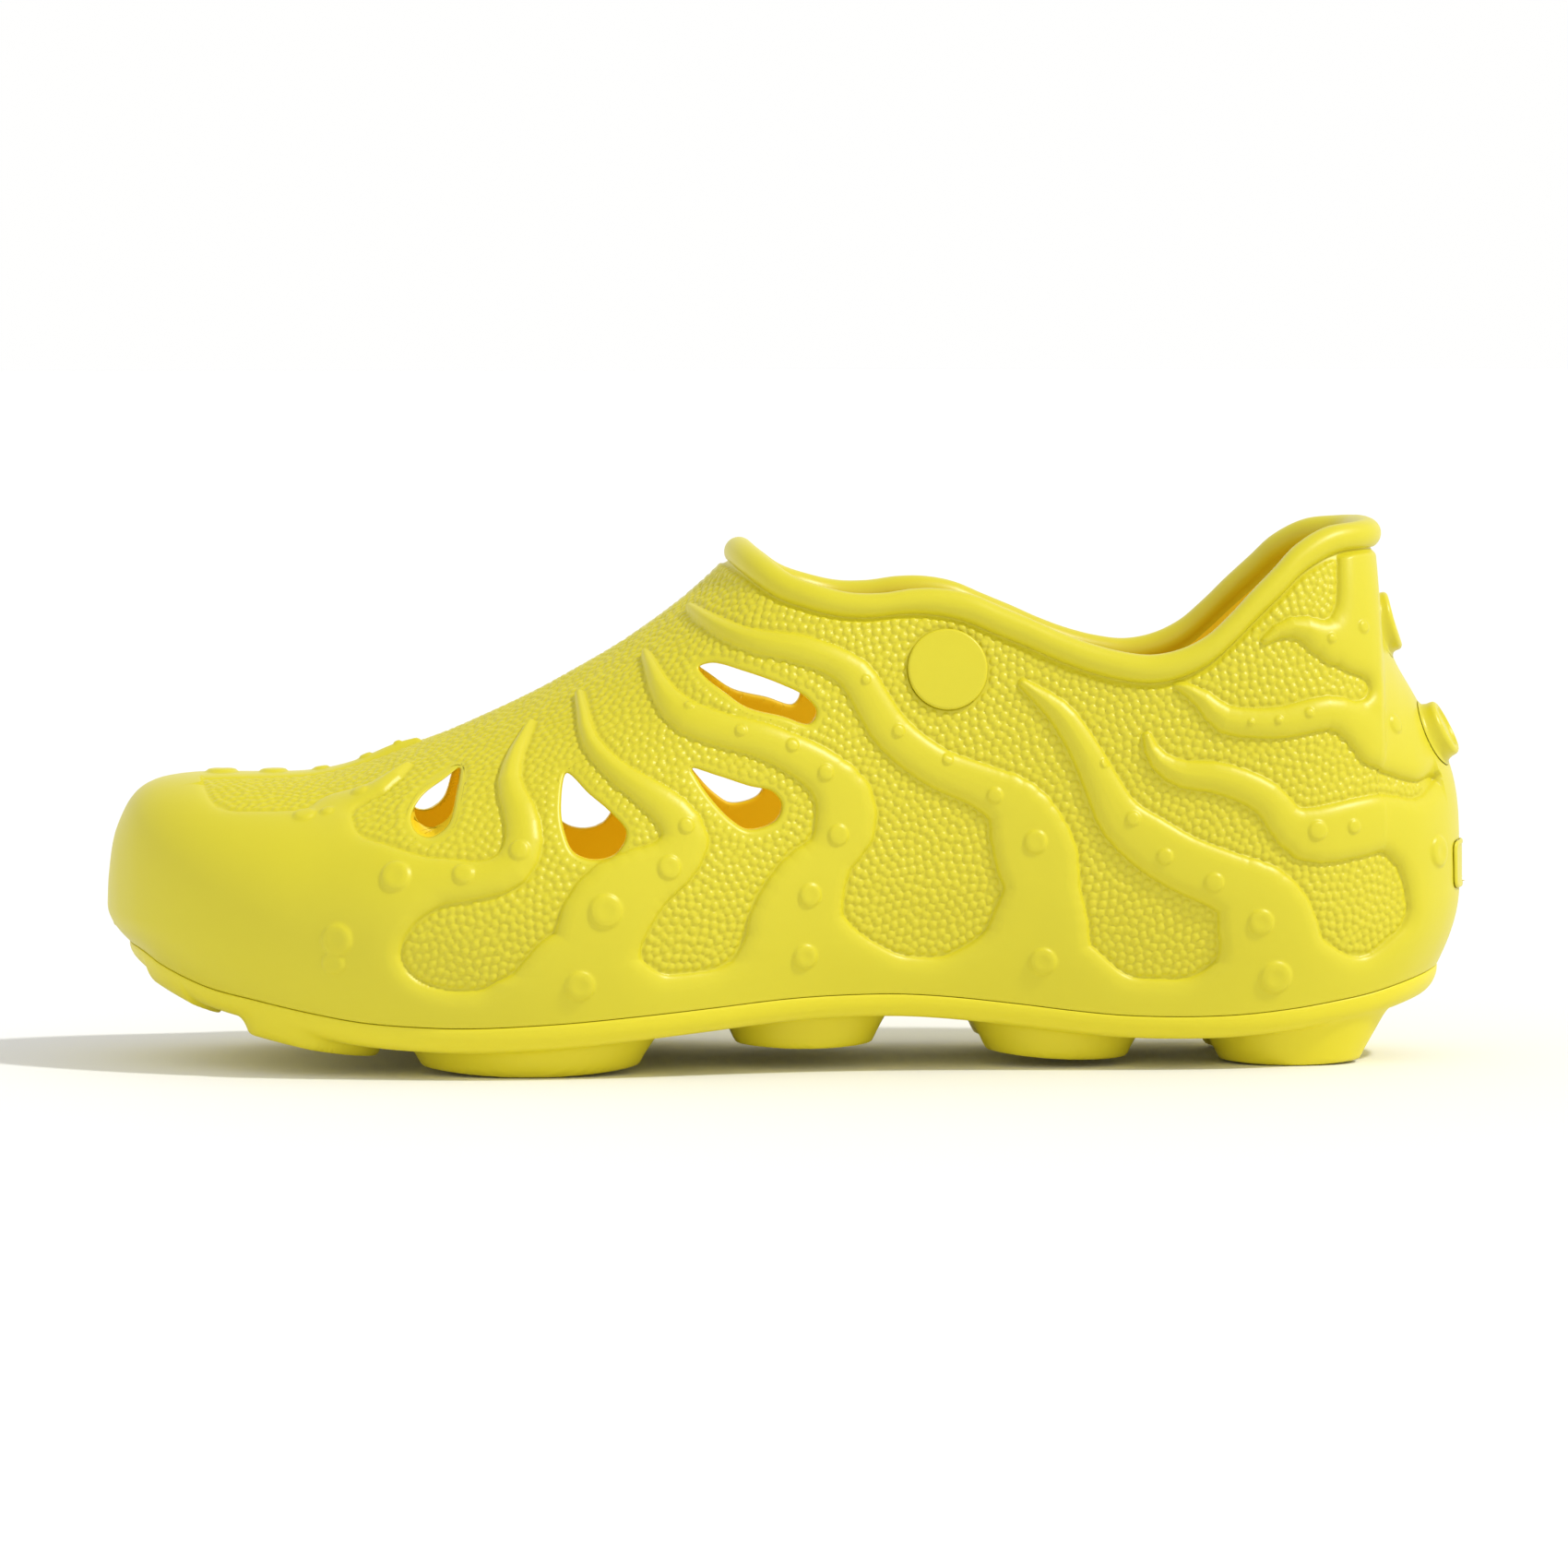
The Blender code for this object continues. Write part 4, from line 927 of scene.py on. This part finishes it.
def upper_piece():
    """The upper, and the ring at the foot of its inner face."""
    sh = Shell(AROUND, ROWS)
    f = np.linspace(0, 1, ROWS)
    top = sh.L - OUTER_STOP
    P, N = (np.stack(rows) for rows in zip(*[sh.at(top * k) for k in f]))
    to_collar = (top[None] * (1 - f[:, None])).ravel()
    h = skin_height(P.reshape(-1, 3), grid_area(P).ravel(), to_collar)
    outer = (P.reshape(-1, 3) + N.reshape(-1, 3) * h[:, None]).reshape(P.shape)

    low = outer[0].copy()
    low[:, 2] = parting(P[0][:, 0])
    out = low[:, :2] - spine_ring(low, parting)[:, :2]
    outer[0][:, 2] = low[:, 2] + 0.06
    low[:, :2] -= unit(out) * 0.18
    inner = sh.inner()
    rings = cap_rings(low, parting, (1.0, 0.66, 0.33)) + [low]
    first_outer = len(rings)
    rings += list(outer) + sh.bead()
    first_inner = len(rings)
    rings += inner
    last_inner = len(rings) - 1
    rings += cap_rings(inner[-1], floor_z, (0.03, 0.06, 0.2, 0.4, 0.7, 1.0))

    V = np.concatenate(rings)
    quads = merge_ends(V, AROUND)[ring_quads(len(rings), AROUND)]
    row = np.repeat(np.arange(len(rings) - 1), AROUND)
    slots = (row >= first_inner).astype(int)
    faces = ((row >= first_outer) & (row < first_outer + ROWS - 1),
             (row >= first_inner) & (row < last_inner))
    V, quads, slots, vent_tris, vent_slots = open_vents(V, quads, slots, faces)
    good, tri, whole = clean_faces(quads)
    tris = np.concatenate([tri, vent_tris])
    used = np.zeros(len(V), bool)
    used[good.ravel()] = used[tris.ravel()] = True
    number = np.cumsum(used) - 1
    slots = np.concatenate([slots[whole], np.zeros(len(tri), int), vent_slots])
    return new_object('clog_upper', V[used], number[good], number[tris], slots), inner[-1]


def sole_z(x):
    """Underside of the sole plate, thinner at the toe and fuller under the ball of the foot."""
    plate_t = np.interp(x, [-140, -110], [4.0, SOLE_T])
    return parting(x) - plate_t - 0.6 * np.exp(-((x + 62) / 40.0) ** 2)


def lug_z(x, y):
    """Underside of the sole with its lugs."""
    out = sole_z(x)
    for cx, cy, rx, ry, foot, tilt, rocker in LUGS:
        u, v = x - cx, y - cy
        r = np.sqrt((u / rx) ** 2 + (v / ry) ** 2) + 1e-6
        e = (r - 1) * np.minimum(rx, ry) * (1 + 0.25 * np.abs(v / ry) / r)
        plane = foot - u * math.tan(math.radians(tilt)) + rocker * (u / rx) ** 2
        rise = np.sqrt(np.maximum(e, 0) ** 2 + 0.35 ** 2) - 0.35
        z = plane + rise / LUG_DRAFT * smoothstep(-0.2, 1.2, e)
        out = blend_min(out, z, 2.2)
    return out


def outsole_piece():
    """Sole plate with its rounded edge and its lugs."""
    B, _ = edge_pairs(SOLE_AROUND)
    tang = np.roll(B, -1, 0) - np.roll(B, 1, 0)
    out = unit(np.stack([tang[:, 1], -tang[:, 0]], -1))
    line = spine_ring(B, parting)
    out *= -np.sign(((line[:, :2] - B[:, :2]) * out).sum(1, keepdims=True))
    edge_z = parting(B[:, 0])

    def ring(inset, z):
        p = B.copy()
        p[:, :2] -= out * inset
        p[:, 2] = z
        return p

    # the top lies the clearance under the upper, with a small round up to the parting line
    top = ring(0.25, edge_z - 0.14)
    rings = cap_rings(top, lambda x: parting(x) - GAP, (1.0, 0.66, 0.33)) + [top]
    rings += [ring(0.04, edge_z - 0.17), ring(-0.05, edge_z - 0.4)]
    side_top = edge_z - 0.5
    for d in SOLE_ROUND * (1 - np.cos(np.linspace(0.12, math.pi / 2, 12))):
        p = ring(d - 0.05, 0)
        fall = math.sqrt(1 - (1 - min(d / SOLE_ROUND, 1)) ** 2)
        p[:, 2] = side_top - (side_top - lug_z(p[:, 0], p[:, 1])) * fall
        rings.append(p)
    start = rings[-1].copy()
    for s in np.linspace(0, 1, SOLE_ROWS)[1:]:
        p = start * (1 - s)
        p[:, :2] += line[:, :2] * s
        p[:, 2] = lug_z(p[:, 0], p[:, 1])
        rings.append(p)
    return ring_body('clog_outsole', rings, inside_out=True)


def footbed_piece(foot):
    """Loose insole with a rounded edge, inside the foot ring of the upper's inner face."""
    foot = foot[::max(1, len(foot) // 480)]
    centre = spine_ring(foot, floor_z)
    d = foot - centre
    r = norm(d[:, :2], axis=1, keepdims=True)

    def ring(inset, rise):
        p = centre.copy()
        p[:, :2] = centre[:, :2] + d[:, :2] * (1 - inset / r)
        p[:, 2] = footbed_z(p[:, 0]) + rise
        return p

    t, side = FOOTBED_T, 1.6
    rings = cap_rings(ring(3.0, 0.0), footbed_z, (1.0, 0.6, 0.3))
    rings += [ring(3.0, 0.0), ring(2.0, 0.9), ring(side, 1.6), ring(side, t * 0.5), ring(side, t - 0.2)]
    for a in np.radians([25, 50, 75, 90]):
        rings.append(ring(side + 1.5 * (1 - math.cos(a)), t - 0.2 + 1.4 * math.sin(a)))
    rings += cap_rings(rings[-1], lambda x: footbed_z(x) + t, np.linspace(0, 1, 40)[1:])
    return ring_body('clog_footbed', rings)


def oval(rx, ry, n, power):
    """Points round a squared oval."""
    a = np.linspace(0, 2 * math.pi, n, endpoint=False)
    c, s = np.cos(a), np.sin(a)
    return np.stack([rx * np.sign(c) * np.abs(c) ** (2 / power),
                     ry * np.sign(s) * np.abs(s) ** (2 / power)], -1)


def fitting_piece(name, node, profile, n):
    """Round body from rows of (inset from the edge, height, share of the wall's curve it follows)."""
    c, out, rx, rz, power, _ = SPOTS[node]
    rot = frame_at(out)
    rings = []
    for inset, h, follow in profile:
        k = max(1 - inset / min(rx, rz), 0.0)
        o = oval(rx * k, rz * k, n, power)
        start = c + o @ rot[:, :2].T - 12 * out
        rise = (hit(start, np.tile(out, (n, 1))) - c) @ out
        rings.append(c + o @ rot[:, :2].T + (h + follow * rise)[:, None] * out)
    return ring_body(name, rings)


def round_edge(inset, h, r, follow):
    """Quarter round from the side wall to a face at height h."""
    return [(inset + r * (1 - math.cos(a)), h - r + r * math.sin(a), follow)
            for a in np.linspace(0, math.pi / 2, 7)]


def seat_rows(r, edge):
    """Underside of a fitting, from its middle to its edge."""
    deep = SEAT_GAP - SEAT_DEEP
    return [(r, deep, 1), (r * 0.75, deep, 1), (r * 0.5, deep, 1), (edge + 1.2, deep, 1),
            (edge + 0.75, deep, 1), (edge + 0.65, deep + 0.1, 1), (edge + 0.65, 0.06, 1),
            (edge + 0.1, 0.08, 1)]


def badge_profile(r):
    """Plain disc, slightly domed."""
    return (seat_rows(r, 0.0) + round_edge(0.0, 1.25, 0.6, 1)
            + [(1.2, 1.27, 1), (r * 0.3, 1.3, 1), (r * 0.5, 1.34, 1), (r * 0.75, 1.38, 1), (r, 1.4, 1)])


def stud_profile(r, proud):
    """Button with a flared foot and a dished face."""
    return (seat_rows(r, -STUD_FOOT)
            + [(-STUD_FOOT, 0.14, 1), (-1.0, 0.2, 1), (-0.65, 0.32, 1), (-0.35, 0.6, 0.9),
               (-0.15, 1.05, 0.7), (0.0, 1.5, 0.5)]
            + round_edge(0.05, proud, 1.15, 0.3)
            + [(1.55, proud + 0.02, 0.25), (1.75, proud - 0.12, 0.25), (1.95, proud - 0.45, 0.2),
               (2.25, proud - 0.62, 0.2), (2.7, proud - 0.68, 0.2), (r * 0.55, proud - 0.64, 0.2),
               (r * 0.75, proud - 0.56, 0.2), (r, proud - 0.52, 0.2)])


def plate_profile(r, proud):
    """Flat plate with a low rim."""
    return (seat_rows(r, 0.0) + round_edge(0.0, proud, 0.5, 1)
            + [(0.85, proud, 1), (1.0, proud - 0.12, 1), (1.2, proud - 0.2, 1),
               (r * 0.5, proud - 0.2, 1), (r * 0.75, proud - 0.2, 1), (r, proud - 0.2, 1)])


def set_inputs(node, **values):
    """Set a shader node's inputs by name, with _ for a space; an output of another node is wired in."""
    for name, value in values.items():
        socket = node.inputs[name.replace('_', ' ')]
        if isinstance(value, bpy.types.NodeSocket):
            node.id_data.links.new(value, socket)
        else:
            socket.default_value = value
    return node


def add_node(tree, kind, **values):
    """New shader node with some of its inputs set."""
    return set_inputs(tree.nodes.new('ShaderNode' + kind), **values)


def new_material(name):
    """Material with its node tree and its shader."""
    mat = bpy.data.materials.new(name)
    mat.use_nodes = True
    return mat, mat.node_tree, mat.node_tree.nodes['Principled BSDF']


def colour_between(tree, factor, first, second):
    """Output of a node that mixes two colours."""
    mix = add_node(tree, 'Mix')
    mix.data_type = 'RGBA'
    mix.inputs[6].default_value = (*first, 1)
    mix.inputs[7].default_value = (*second, 1)
    tree.links.new(factor, mix.inputs[0])
    return mix.outputs[2]


def foam(name, pale, rich, rough, grain=0.5, through=0.0):
    """Moulded foam: gentle colour drift, fine skin grain, a little light under the skin.

    `through` is the strength of a painted glow, an emission that stands in for the light the thin walls
    let in; the foam itself gives no light.
    """
    mat, tree, bsdf = new_material(name)
    place = add_node(tree, 'TexCoord').outputs['Object']
    drift = add_node(tree, 'TexNoise', Vector=place, Scale=16.0, Detail=3.0).outputs['Fac']
    fine = add_node(tree, 'TexNoise', Vector=place, Scale=1400.0, Detail=4.0).outputs['Fac']
    bump = add_node(tree, 'Bump', Height=fine, Strength=grain, Distance=0.00004)
    gloss = add_node(tree, 'MapRange', Value=drift, To_Min=rough - 0.05, To_Max=rough + 0.06)
    set_inputs(bsdf, Base_Color=colour_between(tree, drift, pale, rich), Normal=bump.outputs['Normal'],
               Roughness=gloss.outputs['Result'], IOR=1.45, Subsurface_Weight=0.10,
               Subsurface_Radius=(1.0, 0.75, 0.25), Subsurface_Scale=0.002,
               # painted glow: emission standing in for light let in through the walls, strength `through`
               Emission_Color=PAINTED_GLOW_COLOUR, Emission_Strength=through)
    return mat


def photo_floor():
    """White floor just under the lugs."""
    mesh = bpy.data.meshes.new('floor')
    s = FLOOR_HALF
    mesh.from_pydata([(-s, -s, 0), (s, -s, 0), (s, s, 0), (-s, s, 0)], [], [(0, 1, 2, 3)])
    floor = add_object('floor', mesh)
    floor.location.z = -0.0002
    mat, tree, bsdf = new_material('floor')
    noise = add_node(tree, 'TexNoise', Scale=3.0).outputs['Fac']
    white = colour_between(tree, noise, (0.86, 0.858, 0.852), (0.88, 0.878, 0.872))
    set_inputs(bsdf, Base_Color=white, Roughness=0.85)
    mesh.materials.append(mat)


def sky_and_sun():
    """White sky, brighter near the horizon, and a low soft sun."""
    world = bpy.context.scene.world = bpy.data.worlds.new('studio')
    bpy.context.scene.view_settings.view_transform = 'Standard'
    world.use_nodes = True
    tree = world.node_tree
    up = add_node(tree, 'SeparateXYZ', Vector=add_node(tree, 'TexCoord').outputs['Generated'])
    fade = add_node(tree, 'MapRange', Value=up.outputs['Z'], From_Min=0.25, From_Max=0.95,
                    To_Min=SKY_LOW, To_Max=SKY_HIGH)
    set_inputs(tree.nodes['Background'], Color=(1.0, 0.998, 0.992, 1), Strength=fade.outputs['Result'])

    lamp = bpy.data.lights.new('key', 'SUN')
    lamp.energy = SUN_POWER
    lamp.angle = math.radians(SUN_ANGLE)
    lamp.color = (1.0, 0.99, 0.96)
    sun = add_object('key', lamp)
    sun.location = Vector(SUN_FROM) * 2
    sun.rotation_euler = Vector(SUN_FROM).to_track_quat('Z', 'Y').to_euler()


def photo_camera():
    """Long lens from the outer side, slightly from above and from the toe's side."""
    az, el = math.radians(CAM_AZ), math.radians(CAM_EL)
    fwd = np.array([-math.sin(az) * math.cos(el), math.cos(az) * math.cos(el), -math.sin(el)])
    right = np.cross(fwd, [0, 0, 1.0])
    right /= norm(right)
    up = np.cross(right, fwd)
    aim = np.array([*CENTRE, CAM_AIM_Z]) - right * CAM_SHIFT[0] - up * CAM_SHIFT[1]
    lens = bpy.data.cameras.new('camera')
    lens.sensor_width = 36.0
    lens.lens = CAM_LENS
    lens.clip_end = 50.0
    camera = add_object('camera', lens)
    camera.location = (aim - fwd * CAM_DIST) * MM
    camera.rotation_euler = Vector(fwd).to_track_quat('-Z', 'Y').to_euler()
    bpy.context.scene.camera = camera


CAM_AZ, CAM_EL, CAM_DIST, CAM_LENS = -2.8, 3.85, 2200.0, 227.2
CAM_AIM_Z, CAM_SHIFT = 60.0, (1.7, -0.6)
SUN_FROM, SUN_POWER, SUN_ANGLE = (0.60, -0.27, 0.76), 1.95, 4.0
SKY_LOW, SKY_HIGH = 1.0, 0.62
FLOOR_HALF = 6.0  # metres
# colour of the painted glow on the inner face and the footbed, standing in for light let in through the
# walls
PAINTED_GLOW_COLOUR = (1.0, 0.66, 0.010, 1)

skin = foam('foam_skin', (0.665, 0.590, 0.024), (0.635, 0.560, 0.017), 0.38)
# inner face: the same foam tinted orange and given a painted glow, both standing in for light bounced
# round and let in through the walls
inside = foam('foam_inside_painted_light', (0.82, 0.61, 0.016), (0.76, 0.56, 0.010), 0.52, through=0.125)
sole = foam('foam_sole', (0.750, 0.655, 0.020), (0.720, 0.625, 0.014), 0.42)
# footbed: given a painted glow standing in for light let in through the walls
bed = foam('foam_bed_painted_glow', (0.74, 0.50, 0.014), (0.69, 0.46, 0.010), 0.60, grain=1.0, through=0.11)
trim = foam('foam_trim', (0.665, 0.590, 0.024), (0.640, 0.565, 0.018), 0.36)

upper, foot_ring = upper_piece()
PIECES = [('upper_shell', upper, [skin, inside]),
          ('outsole', outsole_piece(), [sole]),
          ('footbed', footbed_piece(foot_ring), [bed])]
for node, name, profile, around in (
        ('side_badge', 'clog_badge', badge_profile(BADGE_RX), 120),
        ('heel_stud_upper', 'clog_stud_upper', stud_profile(STUD_UPPER_R, STUD_PROUD), 120),
        ('heel_stud_lower', 'clog_stud_lower', stud_profile(STUD_LOWER_R, STUD_PROUD), 120),
        ('heel_plate', 'clog_heel_plate', plate_profile(PLATE_H / 2, PLATE_PROUD - 0.5), 160)):
    PIECES.append((node, fitting_piece(name, node, profile, around), [trim]))

for node, piece, looks in PIECES:
    for look in looks:
        piece.data.materials.append(look)
    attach(piece, 'root')
    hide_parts(node)

photo_floor()
sky_and_sun()
photo_camera()
